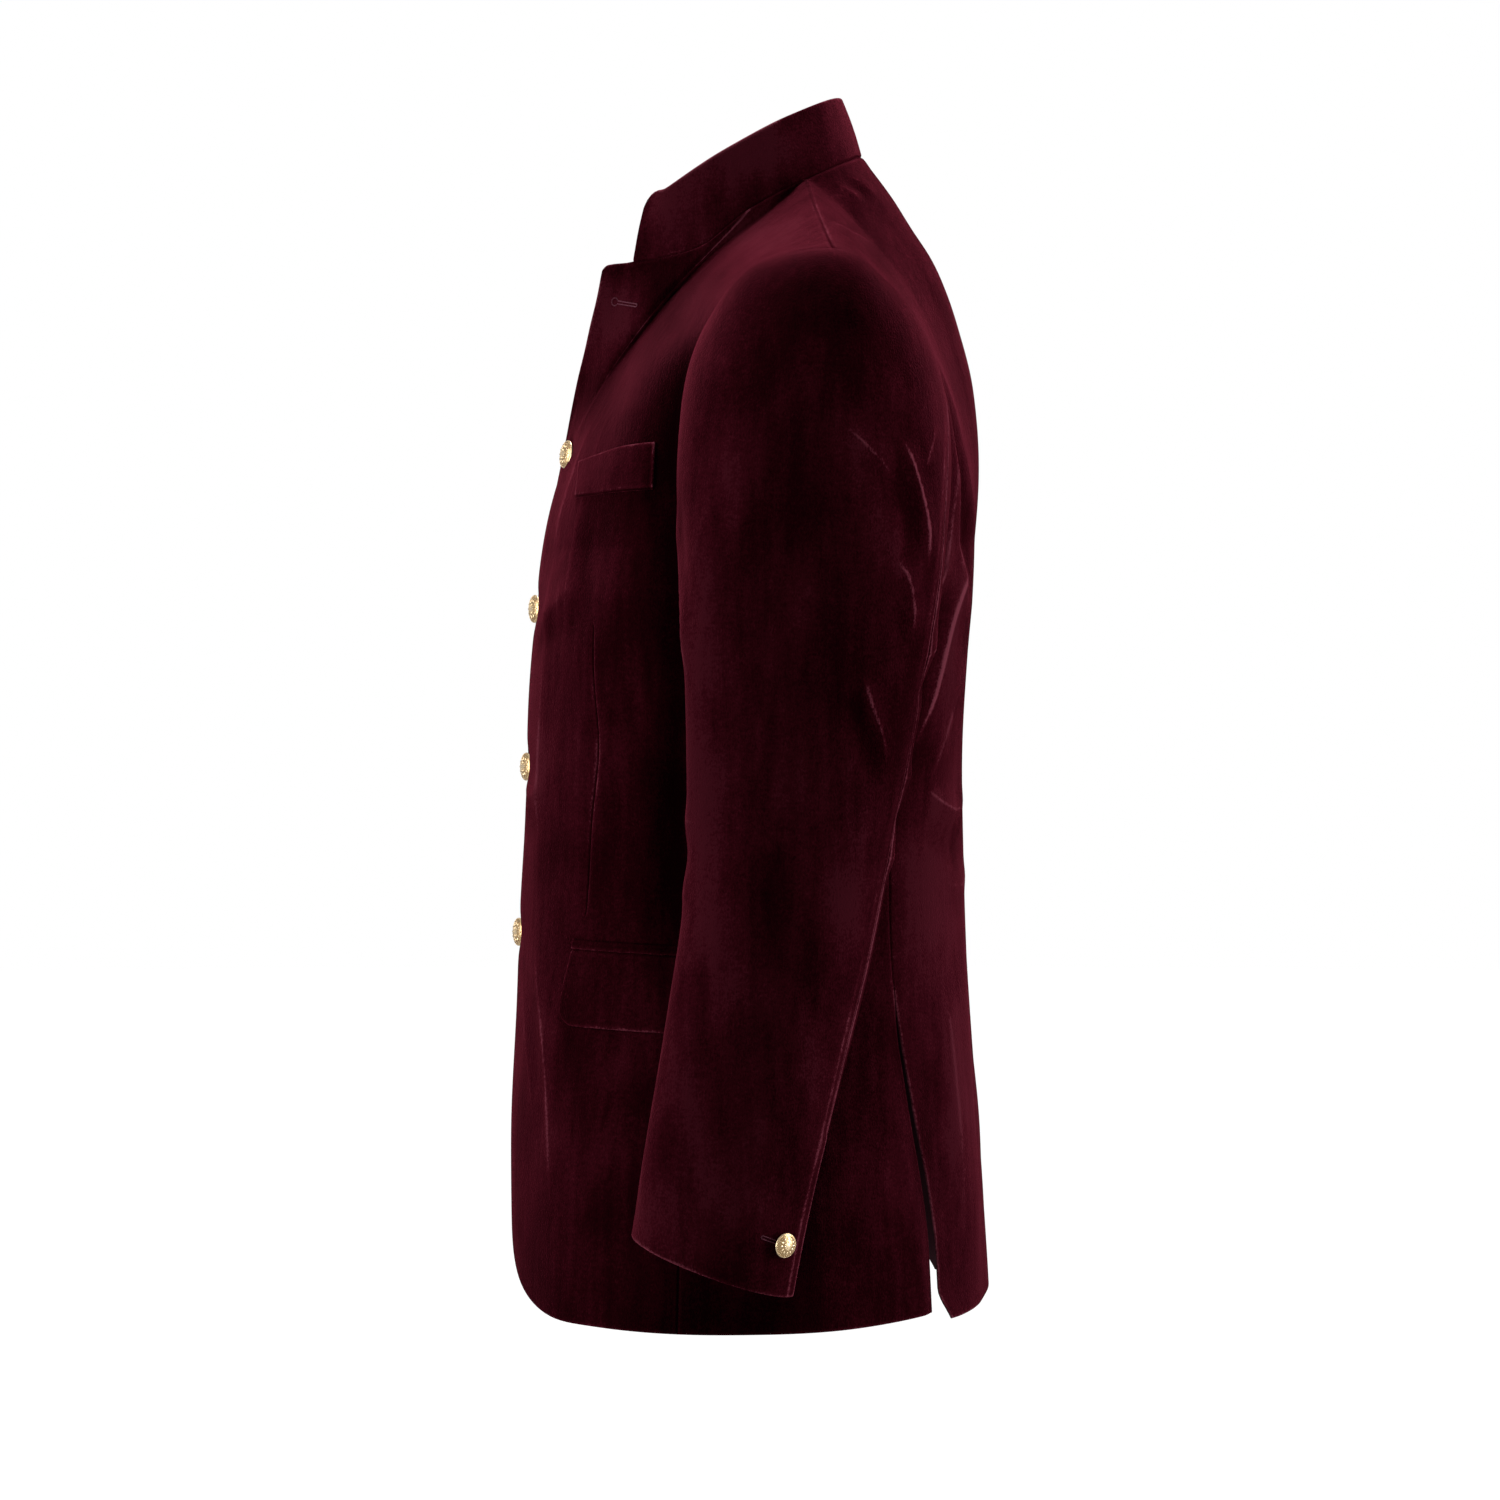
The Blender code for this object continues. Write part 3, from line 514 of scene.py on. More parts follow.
def panel_rows():
    """Row places from the hem up, with the armhole's lower corner on a row of its own."""
    skirt = shares_up(*SKIRT_ROWS, True, False)[:-1]
    waist = 1 + shares_up(*WAIST_ROWS, False, False)[:-1]
    join = 2 + ARM_JOIN * shares_up(*JOIN_ROWS, False, False)[:-1]
    arm = 2 + mix(ARM_JOIN, 1, shares_up(*ARM_ROWS, False, True))
    return np.concatenate([skirt, waist, join, arm])


print(len(panel_rows()), "rows from the hem to the shoulder")


# %% Outward normals of a grid
def normals_of(points):
    """Unit normals of a grid of points, to the left of its columns as its rows go up."""
    along = np.gradient(points, axis=1)
    up = np.gradient(points, axis=0)
    normals = np.cross(along, up)
    return normals / np.maximum(np.linalg.norm(normals, axis=2, keepdims=True), 1e-9)


def softened(values, passes):
    """A grid of values, each one averaged with its neighbours several times."""
    values = values.copy()
    for _ in range(passes):
        middle = values[1:-1, 1:-1]
        around = values[:-2, 1:-1] + values[2:, 1:-1] + values[1:-1, :-2] + values[1:-1, 2:]
        values[1:-1, 1:-1] = 0.5 * middle + 0.125 * around
    return values


# %% [markdown]
# ## The front with its dart
# The front is cut in one piece with the strip that buttons and turns open at the neck. A long
# dart takes in the waist. It isn't a seam between two pieces but a pinch in one, so the columns
# of the grid are gathered along its line, where the groove will be pressed in.

# %% Columns of the front
STRIP_COLUMNS = 24
DART_COLUMNS = (24, 36)
DART = (
    # height, y as seen from the side
    (-487, -106), (-455, -103), (-417, -101), (-364, -97), (-325, -100), (-284, -101),
    (-253, -101),
)
ROLL_RADIUS = 15.0
ROLL_PASSES = 90
CORNER_ROUND = 5.5


def dart_distances(dense):
    """How far along each dense row the dart's line runs."""
    along = lengths_along(dense)
    distances = np.empty(len(dense))
    share = None
    for row in range(len(dense)):
        height = dense[row, :, 2].mean()
        if DART[0][0] - 20 < height < DART[-1][0] + 10 or share is None:
            y = table_spline(DART, np.clip(dense[row, :, 2], DART[0][0], DART[-1][0]))
            found = np.interp(0, dense[row, :, 1] - y, along[row])
            share = found / along[row, -1]
        distances[row] = share * along[row, -1]
    return distances


def front_grid():
    """Points of the front and the column numbers of its roll line and dart."""
    rows = panel_rows()[:, None]
    shares = np.linspace(0, 1, DENSE)[None, :]
    strip, chest = panel_point(STRIP, shares, rows), panel_point(FRONT, shares, rows)
    strip_ends, chest_ends = lengths_along(strip)[:, -1], lengths_along(chest)[:, -1]
    darts = dart_distances(chest)
    grid = []
    for row in range(len(rows)):
        before = spaced(strip_ends[row], STRIP_COLUMNS, True, False)
        towards = spaced(darts[row], DART_COLUMNS[0], False, True)
        beyond = darts[row] + spaced(chest_ends[row] - darts[row], DART_COLUMNS[1])
        line = on_line(chest[row], np.concatenate([towards, beyond[1:]]))
        grid.append(np.concatenate([on_line(strip[row], before)[:-1], line]))
    roll = len(before) - 1
    return np.array(grid), roll, roll + len(towards) - 1


def roll_softened(points, roll):
    """The turned-back strip bends round a soft fold, not a knife edge."""
    high = ease((points[..., 2] - CHEST) / 60)
    weight = (bell(line_distance(points, roll), ROLL_RADIUS) * high)[1:-1, 1:-1, None]
    points = points.copy()
    for _ in range(ROLL_PASSES):
        around = points[1:-1, :-2] + points[1:-1, 2:] + points[:-2, 1:-1] + points[2:, 1:-1]
        points[1:-1, 1:-1] += 0.8 * weight * (around / 4 - points[1:-1, 1:-1])
    return points


def corner_rounded(points):
    """The free corner beside the notch is turned out with a small round."""
    near = side_distances(points)
    inside = np.clip(1 - near["first"] / CORNER_ROUND, 0, 1)
    drop = CORNER_ROUND * rounding(inside)
    drop *= ease(1 - near["top"] / (3 * CORNER_ROUND))
    return points - drop[..., None] * unit(np.gradient(points, axis=0))


front_points, ROLL_COLUMN, DART_COLUMN = front_grid()
front_points = corner_rounded(roll_softened(front_points, ROLL_COLUMN))
print("front grid", front_points.shape[:2], "roll column", ROLL_COLUMN, "dart column", DART_COLUMN)

# %% [markdown]
# ## Side, back and collar grids
# The side body is sewn between front and back, from the hem up to the underarm. The back runs
# from the side seam to the centre back seam. Below the hip both side seams are left open as
# vents, and the flap beside each vent swings out a little, as it does when cloth hangs free.

# %% Side and back
SIDE_COLUMNS = 42
BACK_COLUMNS = 62
UNDERARM_ROWS = (30, 6)
VENT_FLARE = 4.0
FLARE_SHARE = 0.6
VENT_CLOSE = 8.5
VENT_CLOSE_REACH = 60.0
VENT_OPENING = 0.105


def across_grid(panel, rows, count):
    """A panel's points, with its columns close together at both sides."""
    dense = panel_point(panel, np.linspace(0, 1, DENSE)[None, :], rows[:, None])
    ends = lengths_along(dense)[:, -1]
    return np.array([on_line(line, spaced(end, count)) for line, end in zip(dense, ends)])


def side_grid():
    """The side body, whose upper edge is the bottom of the armhole."""
    rows = panel_rows()
    below = across_grid(SIDE, rows[rows < 2], SIDE_COLUMNS)
    chest = across_grid(SIDE, np.array([2.0]), SIDE_COLUMNS)[0]
    hole = armhole_point(np.linspace(225, 135, DENSE))
    top = on_line(hole, spaced(lengths_along(hole)[-1], SIDE_COLUMNS))
    part = shares_up(*UNDERARM_ROWS, False, True)[:, None, None]
    return np.concatenate([below, mix(chest[None], top[None], part)])


def back_grid():
    points = across_grid(BACK, panel_rows(), BACK_COLUMNS)
    low = ease(vent_share(points[..., 2]))
    along = lengths_along(points)
    near = ease(1 - along / along[:, -1:] / FLARE_SHARE)
    points[..., :2] += VENT_FLARE * (low * near)[..., None] * unit(points[..., :2])
    return points


side_points = side_grid()
back_points = back_grid()
print("side grid", side_points.shape[:2], "back grid", back_points.shape[:2])

# %% The stand collar
COLLAR_WALL = 3.0
COLLAR_COLUMNS = 62
COLLAR_ROWS = (42, 12)
COLLAR_CORNER = 6.0


def collar_grid():
    """The stand collar from its left front end round the back to its right front end."""
    dense = np.linspace(0, 1, 3 * DENSE)
    seam, top = (neck_points("notch", "centre back", dense, line) for line in (SEAM, UPPER_EDGE))
    share = spaced(lengths_along(seam)[-1], COLLAR_COLUMNS, True, False) / lengths_along(seam)[-1]
    seam, top = (on_line(line, share * lengths_along(line)[-1]) for line in (seam, top))
    # The upper corners of the front ends are rounded off.
    inside = np.clip(COLLAR_CORNER - lengths_along(top), 0, None)
    drop = COLLAR_CORNER - np.sqrt(COLLAR_CORNER**2 - inside**2)
    top = top + drop[:, None] * unit(seam - top)
    rows = shares_up(*COLLAR_ROWS)[:, None, None]
    left = mix(seam[None], top[None], rows)
    right = left[:, -2::-1] * FLIPPED
    return np.concatenate([left, right], axis=1)


collar_points = collar_grid()
print("collar grid", collar_points.shape[:2])

# %% [markdown]
# ## The sleeves
# A sleeve is a tube of ellipses that follow the bent arm. Its cap leaves the armhole outwards
# and curves over into the arm, fullest at the shoulder. A tailor cuts it in two pieces, a wide
# top sleeve and a narrow under sleeve, so that the seams can shape the elbow.

# %% Sleeve sections
SLEEVE_SECTIONS = (
    # height, centre x, centre y, front-to-back width, side-to-side width, tilt
    (-300, 244, 36.5, 154, 92, 1),
    (-340, 245, 33.5, 146, 92, 3),
    (-400, 246, 28.0, 133, 92, 6),
    (-470, 248, 19.0, 121, 90, 10),
    (-550, 250, 4.0, 113, 86, 15),
    (-620, 251, -11.0, 108, 80, 18),
    (-686, 251, -23.0, 106, 76, 19.5),
)
SLEEVE_ROUNDNESS = 2.15
CUFF_DROP = 5.0
SLEEVE_SPANS = {"top": (240, 435, 68), "under": (75, 240, 56)}
CAP_GATHER = 1.25
CAP_FULLNESS = (0.70, 0.25)
CAP_ARRIVAL = 0.95


def sleeve_ring(height, turn):
    """A point of the sleeve's outer face: turn 0 is outermost and 90 is at the back."""
    values = np.moveaxis(table_spline(SLEEVE_SECTIONS[::-1], height), -1, 0)
    centre_x, centre_y, width, depth, tilt = values
    angle = np.radians(turn)
    sine, cosine = np.sin(angle), np.cos(angle)
    power = 2 / SLEEVE_ROUNDNESS
    out = depth / 2 * np.sign(cosine) * np.abs(cosine) ** power
    back = width / 2 * np.sign(sine) * np.abs(sine) ** power
    lean = np.radians(tilt)
    top, cuff = SLEEVE_SECTIONS[0][0], SLEEVE_SECTIONS[-1][0]
    low = ease((top - height) / (top - cuff))
    x = centre_x + out
    y = centre_y + back * np.cos(lean)
    z = height - back * np.sin(lean) - CUFF_DROP * low * cosine
    return np.stack([x, y, z], axis=-1)


def sleeve_point(along, turn):
    """Along is 0 at the armhole, 1 at the top of the arm and 2 at the cuff."""
    along, turn = np.broadcast_arrays(np.asarray(along, float), np.asarray(turn, float))
    angle = np.radians(turn)
    top, cuff = SLEEVE_SECTIONS[0][0], SLEEVE_SECTIONS[-1][0]
    arm = armhole_point(turn)
    ring = sleeve_ring(np.full(turn.shape, float(top)), turn)
    below = sleeve_ring(np.full(turn.shape, top - 10.0), turn)
    # The cap leaves the armhole outwards and arrives along the arm, fullest at the shoulder.
    reach = np.linalg.norm(ring - arm, axis=-1, keepdims=True)
    out = np.stack([1 + 0 * angle, 0.28 * np.sin(angle), 0.05 * np.cos(angle) - 0.1], axis=-1)
    fullness = CAP_FULLNESS[0] + CAP_FULLNESS[1] * np.cos(angle)
    leave = unit(out) * reach * fullness[..., None]
    arrive = unit(below - ring) * reach * CAP_ARRIVAL
    cap = hermite(arm, leave, ring, arrive, np.clip(along, 0, 1)[..., None])
    height = mix(top, cuff, np.clip(along - 1, 0, 1))
    return np.where((along > 1)[..., None], sleeve_ring(height, turn), cap)


# %% Sleeve grids
# Length in millimetres and number of rows of the cap and the arm.
CAP_ROWS, SLEEVE_ROWS = (230, 66), (386, 116)


def sleeve_grid(span):
    """One of a sleeve's two pieces, with its rows from the cuff up to the armhole."""
    first, last, count = SLEEVE_SPANS[span]
    cap = shares_up(*CAP_ROWS, True, False) ** CAP_GATHER
    arm = 1 + shares_up(*SLEEVE_ROWS, False, True)
    rows = np.concatenate([cap[:-1], arm])[::-1]
    dense = sleeve_point(rows[:, None], np.linspace(first, last, DENSE)[None, :])
    ends = lengths_along(dense)[:, -1]
    return np.array([on_line(line, spaced(end, count)) for line, end in zip(dense, ends)])


sleeve_points = {span: sleeve_grid(span) for span in SLEEVE_SPANS}
for span, points in sleeve_points.items():
    print("sleeve", span, "grid", points.shape[:2])

# %% [markdown]
# ## Folds and creases
# Velvet is thick, so its folds are few. Where it is pushed together, behind the arm, they have
# a sharp edge, along which the velvet material paints a thin highlight. Elsewhere they are soft
# and wide. Raised folds are also painted a little lighter and sunken ones a little darker. Each
# one is drawn as a short path over the cloth in one view, with a height and a half width: a ridge
# stands out, and a trough with a negative height sinks in. The last number says how sharp its
# edge is. The cloth is lifted along its own normal, and a fold fades out at both ends and where
# the cloth turns away from the view. The wearer's right side gets the same folds in mirror image,
# each one moved and weakened or strengthened a little.

# %% Table of folds
BODY_FOLDS = (
    # view, height, half width, sharpness, path across and up in that view
    # the turned-back corner's fold runs out down the front edge
    ("side", 1.8, 7, 0.5, ((-95, -143), (-106, -166), (-115, -189), (-124, -218), (-130, -251))),
    ("side", 1.2, 6, 0.25, ((-126, -230), (-133, -290), (-136, -360), (-138, -430), (-139, -492))),
    ("side", -1.2, 6, 0, ((-108, -150), (-119, -180), (-129, -215), (-136, -260))),
    ("side", 1.3, 8, 0.3, ((-84, -140), (-96, -166), (-108, -205), (-117, -255), (-122, -330))),
    ("side", -1.5, 12, 0, ((-84, -210), (-98, -232), (-108, -268), (-112, -318))),
    # below the last button
    ("side", 2.0, 7, 0.4, ((-140, -485), (-136, -525), (-132, -568), (-130, -607), (-128, -665))),
    ("side", 1.5, 5.5, 0.3, ((-150, -510), (-147, -549), (-143, -582), (-138, -630))),
    ("side", -1.4, 7, 0, ((-146, -505), (-141, -550), (-137, -592), (-134, -640))),
    ("side", 1.6, 14, 0, ((-92, -585), (-96, -640), (-104, -715))),
    ("side", -1.6, 16, 0, ((-62, -560), (-66, -630), (-70, -725))),
    # chest and the hollow before the arm
    ("side", 1.5, 13, 0, ((-40, -92), (-62, -128), (-74, -168))),
    ("side", -4.0, 14, 0, ((-30, -120), (-40, -165), (-46, -215), (-44, -290), (-40, -370))),
    ("side", -3.4, 15, 0, ((-44, -300), (-42, -380), (-44, -440), (-48, -500))),
    ("front", 1.6, 9, 0.2, ((60, -288), (88, -276), (128, -262))),
    ("front", -1.2, 9, 0, ((52, -306), (86, -296), (132, -286))),
    ("front", 1.3, 8, 0.2, ((22, -392), (56, -400), (96, -396))),
    ("front", -1.0, 8, 0, ((24, -412), (60, -422), (102, -418))),
    # back, gathered behind the arm
    ("side", 2.2, 5, 0.9, ((119, -125), (123, -149), (124, -177), (121, -206), (116, -240))),
    ("side", -2.4, 4, 0, ((123, -135), (128, -177), (126, -208), (119, -243))),
    ("side", 2.4, 5, 0.8, ((128, -138), (131, -176), (130, -206), (124, -243), (118, -272))),
    ("side", -2.0, 5, 0, ((132, -150), (135, -180), (132, -212), (125, -250))),
    ("side", 2.0, 6, 0.6,
     ((136, -145), (135, -177), (131, -210), (124, -250), (113, -292), (104, -330))),
    ("side", 3.2, 7, 0.9,
     ((141, -232), (137, -262), (129, -290), (122, -318), (115, -342), (101, -378))),
    ("side", -3.6, 7, 0, ((131, -258), (122, -284), (113, -312), (104, -338), (96, -362))),
    ("side", 2.0, 9, 0.2, ((142, -300), (135, -330), (125, -362), (112, -402))),
    ("side", -1.8, 9, 0, ((140, -330), (130, -365), (116, -405))),
    ("back", 2.4, 9, 0.5, ((150, -120), (146, -165), (138, -205), (122, -248), (96, -292))),
    ("back", -2.4, 10, 0, ((136, -110), (130, -160), (120, -205), (102, -245), (78, -280))),
    ("back", 1.8, 12, 0.2, ((118, -100), (110, -150), (98, -196), (76, -240))),
    ("back", 2.0, 11, 0.3, ((30, -395), (70, -408), (112, -404), (140, -392))),
    ("back", -1.8, 10, 0, ((26, -420), (66, -434), (112, -430), (142, -418))),
    ("back", 1.2, 10, 0.2, ((22, -446), (60, -458), (104, -456))),
    ("back", 1.7, 16, 0, ((70, -480), (78, -560), (84, -640), (88, -722))),
    ("back", -1.7, 15, 0, ((40, -490), (44, -570), (46, -650), (48, -722))),
    ("side", 1.8, 8, 0.12, ((124, -520), (129, -560), (134, -620), (138, -690))),
    ("side", -1.6, 7, 0, ((114, -560), (121, -620), (126, -690))),
    ("back", 1.2, 7, 0.3, ((40, 8), (62, -6), (84, -12))),
    # the back of the shoulder
    ("side", 1.6, 3.4, 0.6, ((50, -35), (64, -38), (80, -42))),
    ("side", -1.8, 4.5, 0, ((46, -30), (58, -32), (72, -35))),
    ("side", 1.5, 3.6, 0.6, ((56, -2), (65, -6), (74, -12))),
    ("side", -1.3, 4, 0, ((60, 1), (70, -3), (80, -9))),
    ("side", 1.3, 3.6, 0.5, ((65, 6), (74, 0), (84, -6))),
    # side body
    ("side", 1.7, 15, 0, ((72, -470), (62, -540), (55, -620), (51, -725))),
    ("side", -1.8, 14, 0, ((38, -480), (30, -560), (25, -640), (22, -724))),
    ("side", 1.8, 12, 0, ((-4, -490), (-10, -570), (-14, -650), (-16, -724))),
    ("side", 1.3, 11, 0, ((88, -575), (84, -640), (80, -715))),
)
SLEEVE_FOLDS = (
    # creased towards the armpit
    ("side", 2.4, 5, 0.9, ((92, -178), (99, -194), (105, -214), (109, -236), (109, -262))),
    ("side", -2.2, 5.5, 0, ((84, -192), (93, -214), (99, -236), (101, -262))),
    ("side", 1.2, 5, 0.55, ((115, -168), (113, -178), (110, -189), (107, -199))),
    ("side", 1.3, 5, 0.3, ((58, -173), (68, -182), (80, -194), (88, -206))),
    ("side", 1.8, 5, 0.5, ((90, -254), (97, -266), (100, -284), (99, -306))),
    ("side", 1.9, 6, 0.5, ((68, -320), (74, -342), (80, -360), (84, -384))),
    ("side", -1.8, 6, 0, ((60, -330), (66, -352), (72, -372), (76, -398))),
    # long and soft down its front and over the elbow
    ("side", 1.8, 12, 0, ((-28, -190), (-34, -270), (-36, -350), (-38, -450))),
    ("side", -1.7, 14, 0, ((-4, -200), (-8, -290), (-10, -380), (-14, -460))),
    ("side", 1.6, 16, 0, ((38, -230), (34, -310), (28, -400), (16, -480))),
    ("side", -1.6, 14, 0, ((70, -290), (62, -340), (54, -400), (42, -470))),
    ("side", 1.7, 11, 0, ((-46, -470), (-50, -540), (-58, -610), (-66, -650))),
    ("side", -1.6, 12, 0, ((-20, -480), (-26, -550), (-34, -620), (-44, -672))),
    ("side", 1.5, 12, 0, ((24, -480), (14, -550), (2, -620), (-8, -680))),
    ("back", 2.2, 8, 0.4, ((214, -372), (236, -384), (262, -388))),
    ("back", -2.0, 8, 0, ((212, -396), (238, -410), (264, -412))),
    ("back", 2.0, 8, 0.3, ((214, -424), (238, -436), (264, -436))),
    ("back", 2.4, 8, 0.5, ((206, -250), (222, -282), (242, -304), (264, -316))),
    ("back", -2.0, 8, 0, ((206, -282), (222, -310), (244, -330), (268, -340))),
    ("front", 2.4, 9, 0.4, ((208, -214), (226, -250), (246, -286), (262, -330))),
    ("front", -2.0, 9, 0, ((220, -200), (240, -236), (258, -274), (270, -316))),
    ("front", 1.0, 9, 0.2, ((222, -400), (244, -412), (264, -414))),
    ("front", -1.1, 9, 0, ((220, -420), (244, -434), (264, -436))),
    ("front", 1.0, 9, 0.15, ((222, -444), (246, -456), (266, -456))),
)
FOLDS = [("body", *row) for row in BODY_FOLDS]
FOLDS += [("sleeve", *row) for row in SLEEVE_FOLDS]
VIEWS = {
    # view: the two axes seen, and the direction of what faces it
    "side": ((1, 2), np.array([1.0, 0, 0])),
    "front": ((0, 2), np.array([0, -1.0, 0])),
    "back": ((0, 2), np.array([0, 1.0, 0])),
}
FOLD_SEED = 7
CREASE_REACH = 4.5
SHARP_FALL, SHARP_SHARE = 0.55, 0.6
END_FADE = 0.25
FACING_FROM, FACING_FADE = 0.05, 0.3
MIRRORED_STRENGTH, MIRRORED_SHIFT, MIRRORED_TURN = (0.6, 1.35), 9, 6
print(len(FOLDS), "folds on each side")


# %% Lift the cloth along its folds
def distance_to_path(points, path):
    """Distance of each point in a view from a path, negative on its right, and its share of
    the way along."""
    path = np.asarray(path, float)
    fine = spline(np.linspace(0, 1, len(path)), path, np.linspace(0, 1, 25))
    best = np.full(len(points), np.inf)
    share = np.zeros(len(points))
    for number, (start, end) in enumerate(zip(fine[:-1], fine[1:])):
        line = end - start
        offset = points - start
        part = np.clip(offset @ line / (line @ line), 0, 1)
        distance = np.linalg.norm(offset - part[:, None] * line, axis=1)
        closer = distance < np.abs(best)
        turn = line[0] * offset[:, 1] - line[1] * offset[:, 0]
        best[closer] = (distance * np.where(turn < 0, -1, 1))[closer]
        share[closer] = ((number + part) / (len(fine) - 1))[closer]
    return best, share


def fold_profile(distance, half_width, sharpness):
    """Height across a fold, from a soft swell to one with a sharp edge."""
    sharp = np.exp(-np.abs(distance) / (SHARP_FALL * half_width))
    return mix(bell(distance, half_width), sharp, SHARP_SHARE * sharpness)


def fold_lift(points, piece, side):
    """How far the folds of a piece lift each of its points. Also, for the thin painted highlight
    on a sharp edge, the distance from the nearest edge and how sharp it is there."""
    normals = softened(normals_of(points), 4)
    flat_points, flat_normals = points.reshape(-1, 3), normals.reshape(-1, 3)
    total, place, sharp, second = np.zeros((4, len(flat_points)))
    random = np.random.default_rng(FOLD_SEED)
    for owner, view, height, half_width, sharpness, path in FOLDS:
        strength = random.uniform(*MIRRORED_STRENGTH)
        shift = random.uniform(-MIRRORED_SHIFT, MIRRORED_SHIFT, 2)
        turn = random.uniform(-MIRRORED_TURN, MIRRORED_TURN)
        if owner != piece:
            continue
        path = np.array(path, float)
        if side == "right":
            height = height * strength
            path = path + shift + np.outer(np.linspace(-turn, turn, len(path)), (1, 0))
        axes, facing = VIEWS[view]
        flat = flat_points[:, axes]
        reach = 3 * half_width
        near = np.all((flat > path.min(0) - reach) & (flat < path.max(0) + reach), axis=1)
        near &= flat_normals @ facing > FACING_FROM
        if not near.any():
            continue
        distance, share = distance_to_path(flat[near], path)
        fade = ease(share / END_FADE) * ease((1 - share) / END_FADE)
        fade *= ease((flat_normals[near] @ facing - FACING_FROM) / FACING_FADE)
        total[near] += height * fade * fold_profile(distance, half_width, sharpness)
        edge = sharpness * fade * bell(distance, CREASE_REACH)
        nearest = edge > sharp[near]
        second[near] = np.where(nearest, sharp[near], np.maximum(second[near], edge))
        place[near] = np.where(nearest, distance, place[near])
        sharp[near] = np.maximum(edge, sharp[near])
    # Where two creases meet, neither has a clear edge.
    return [values.reshape(points.shape[:2]) for values in (total, place, sharp - second)]


# %% Patches of painted light and shade
# Painted light and shade, standing in for how the lamps fall: lighter on the shoulder, the lapel,
# the back, the collar and the lower sleeve, darker in the hollow before the arm and along the hem.
PAINTED_LIGHT_PATCHES = (
    # piece, middle back and up as seen from the side, half widths, how much painted light (below 0,
    # painted shade)
    ("body", (8, -37), (45, 28), 0.6),
    ("body", (-74, -92), (14, 16), 0.35),
    ("body", (-60, -130), (34, 74), -0.45),
    ("body", (-40, -92), (28, 44), -0.4),
    ("body", (-88, -82), (18, 28), 0.75),
    ("body", (-101, -138), (14, 30), -0.3),
    ("body", (-50, -430), (19, 240), -0.45),
    ("body", (-126, -360), (14, 70), 0.25),
    ("body", (-103, -630), (26, 50), -0.2),
    ("body", (68, -640), (40, 120), -0.2),
    ("body", (114, -480), (24, 90), 0.48),
    ("body", (130, -640), (14, 90), 0.4),
    ("body", (-20, -728), (78, 42), -0.6),
    ("sleeve", (25, -105), (60, 50), -0.25),
    ("sleeve", (46, -84), (38, 22), -0.35),
    ("sleeve", (-24, -320), (22, 140), 0.55),
    ("sleeve", (36, -300), (20, 110), -0.2),
    ("sleeve", (40, -546), (18, 52), 0.3),
    ("sleeve", (62, -458), (17, 60), 0.85),
    ("sleeve", (-18, -596), (30, 36), 0.2),
    ("sleeve", (-36, -550), (36, 90), 0.26),
    ("sleeve", (-35, -655), (62, 45), 0.32),
    ("collar", (-50, -22), (30, 30), 0.45),
    ("collar", (10, 20), (40, 22), 0.52),
    ("welt", (-88, -192), (30, 30), 0.34),
)


def painted_patches(points, piece):
    """Painted light and shade: how much lighter or darker the pile is coloured in broad patches."""
    total = np.zeros(points.shape[:2])
    for owner, middle, reach, amount in PAINTED_LIGHT_PATCHES:
        if owner == piece:
            away = (points[..., 1:] - middle) / reach
            total += amount * np.exp(-(away**2).sum(axis=-1))
    return total


FOLD_SHADE, SHADE_RANGE = 0.1, (-0.6, 0.3)


def fold_shade(lift):
    """Painted light and shade on the folds: raised ones are coloured a little lighter and sunken
    ones darker.
    """
    return np.clip(FOLD_SHADE * lift, *SHADE_RANGE)


# %% Small unevenness
WAVES = 14
WAVE_LENGTHS = (1, 1, 0.55)
BODY_SEEDS = {"left": 11, "right": 12}


def unevenness(points, seed, height=0.55, shortest=55.0, longest=190.0):
    """Slow waves in several directions, because cloth never lies quite even."""
    random = np.random.default_rng(seed)
    total = np.zeros(points.shape[:2])
    for _ in range(WAVES):
        direction = unit(random.normal(size=3) * WAVE_LENGTHS)
        wave = random.uniform(shortest, longest)
        total += np.sin(points @ direction * 2 * math.pi / wave + random.uniform(0, 2 * math.pi))
    return height * total / math.sqrt(WAVES / 2)


# %% [markdown]
# ## From a grid to a piece of cloth
# Each grid becomes a closed shell about 2 mm thick. Where a piece ends in the open, as at a hem
# or a cuff, the outer and inner faces roll together into a rounded edge. Where it is sewn to
# another, the outer face sinks into a narrow groove with a slight ridge beside it, made by the
# seam allowance underneath. Along both the script paints light: a thin highlight beside the
# groove and on the rounded edge, and a dark line of painted shade in the groove. It stores that
# as an attribute that the velvet material reads.

# %% Edges, seams and pressed lines
GROOVE_DEPTH, GROOVE_WIDTH = 0.9, 1.0
RIDGE_HEIGHT, RIDGE_PLACE, RIDGE_WIDTH = 0.28, 4.4, 2.2
# Painted highlight beside a seam, and a painted dark line of shade in its groove.
SEAM_HIGHLIGHT, SEAM_HIGHLIGHT_PLACE, SEAM_HIGHLIGHT_WIDTH = 0.34, 1.5, 0.9
SEAM_DARK, SEAM_DARK_WIDTH = 0.6, 0.55
# Painted highlight along a rounded open edge.
EDGE_LIGHT, EDGE_LIGHT_WIDTH = 0.62, 1.4
ROLLED_SHARE = 0.97
SEAM_OVERLAP = 0.6
# How much of the painted seam lines shows on a quiet seam.
QUIET_SEAM = 0.35
SIDE_LINES = {
    # each side's outermost line of points and the one next to it
    "first": np.s_[:, :2],
    "last": np.s_[:, :-3:-1],
    "bottom": np.s_[:2],
    "top": np.s_[:-3:-1],
}


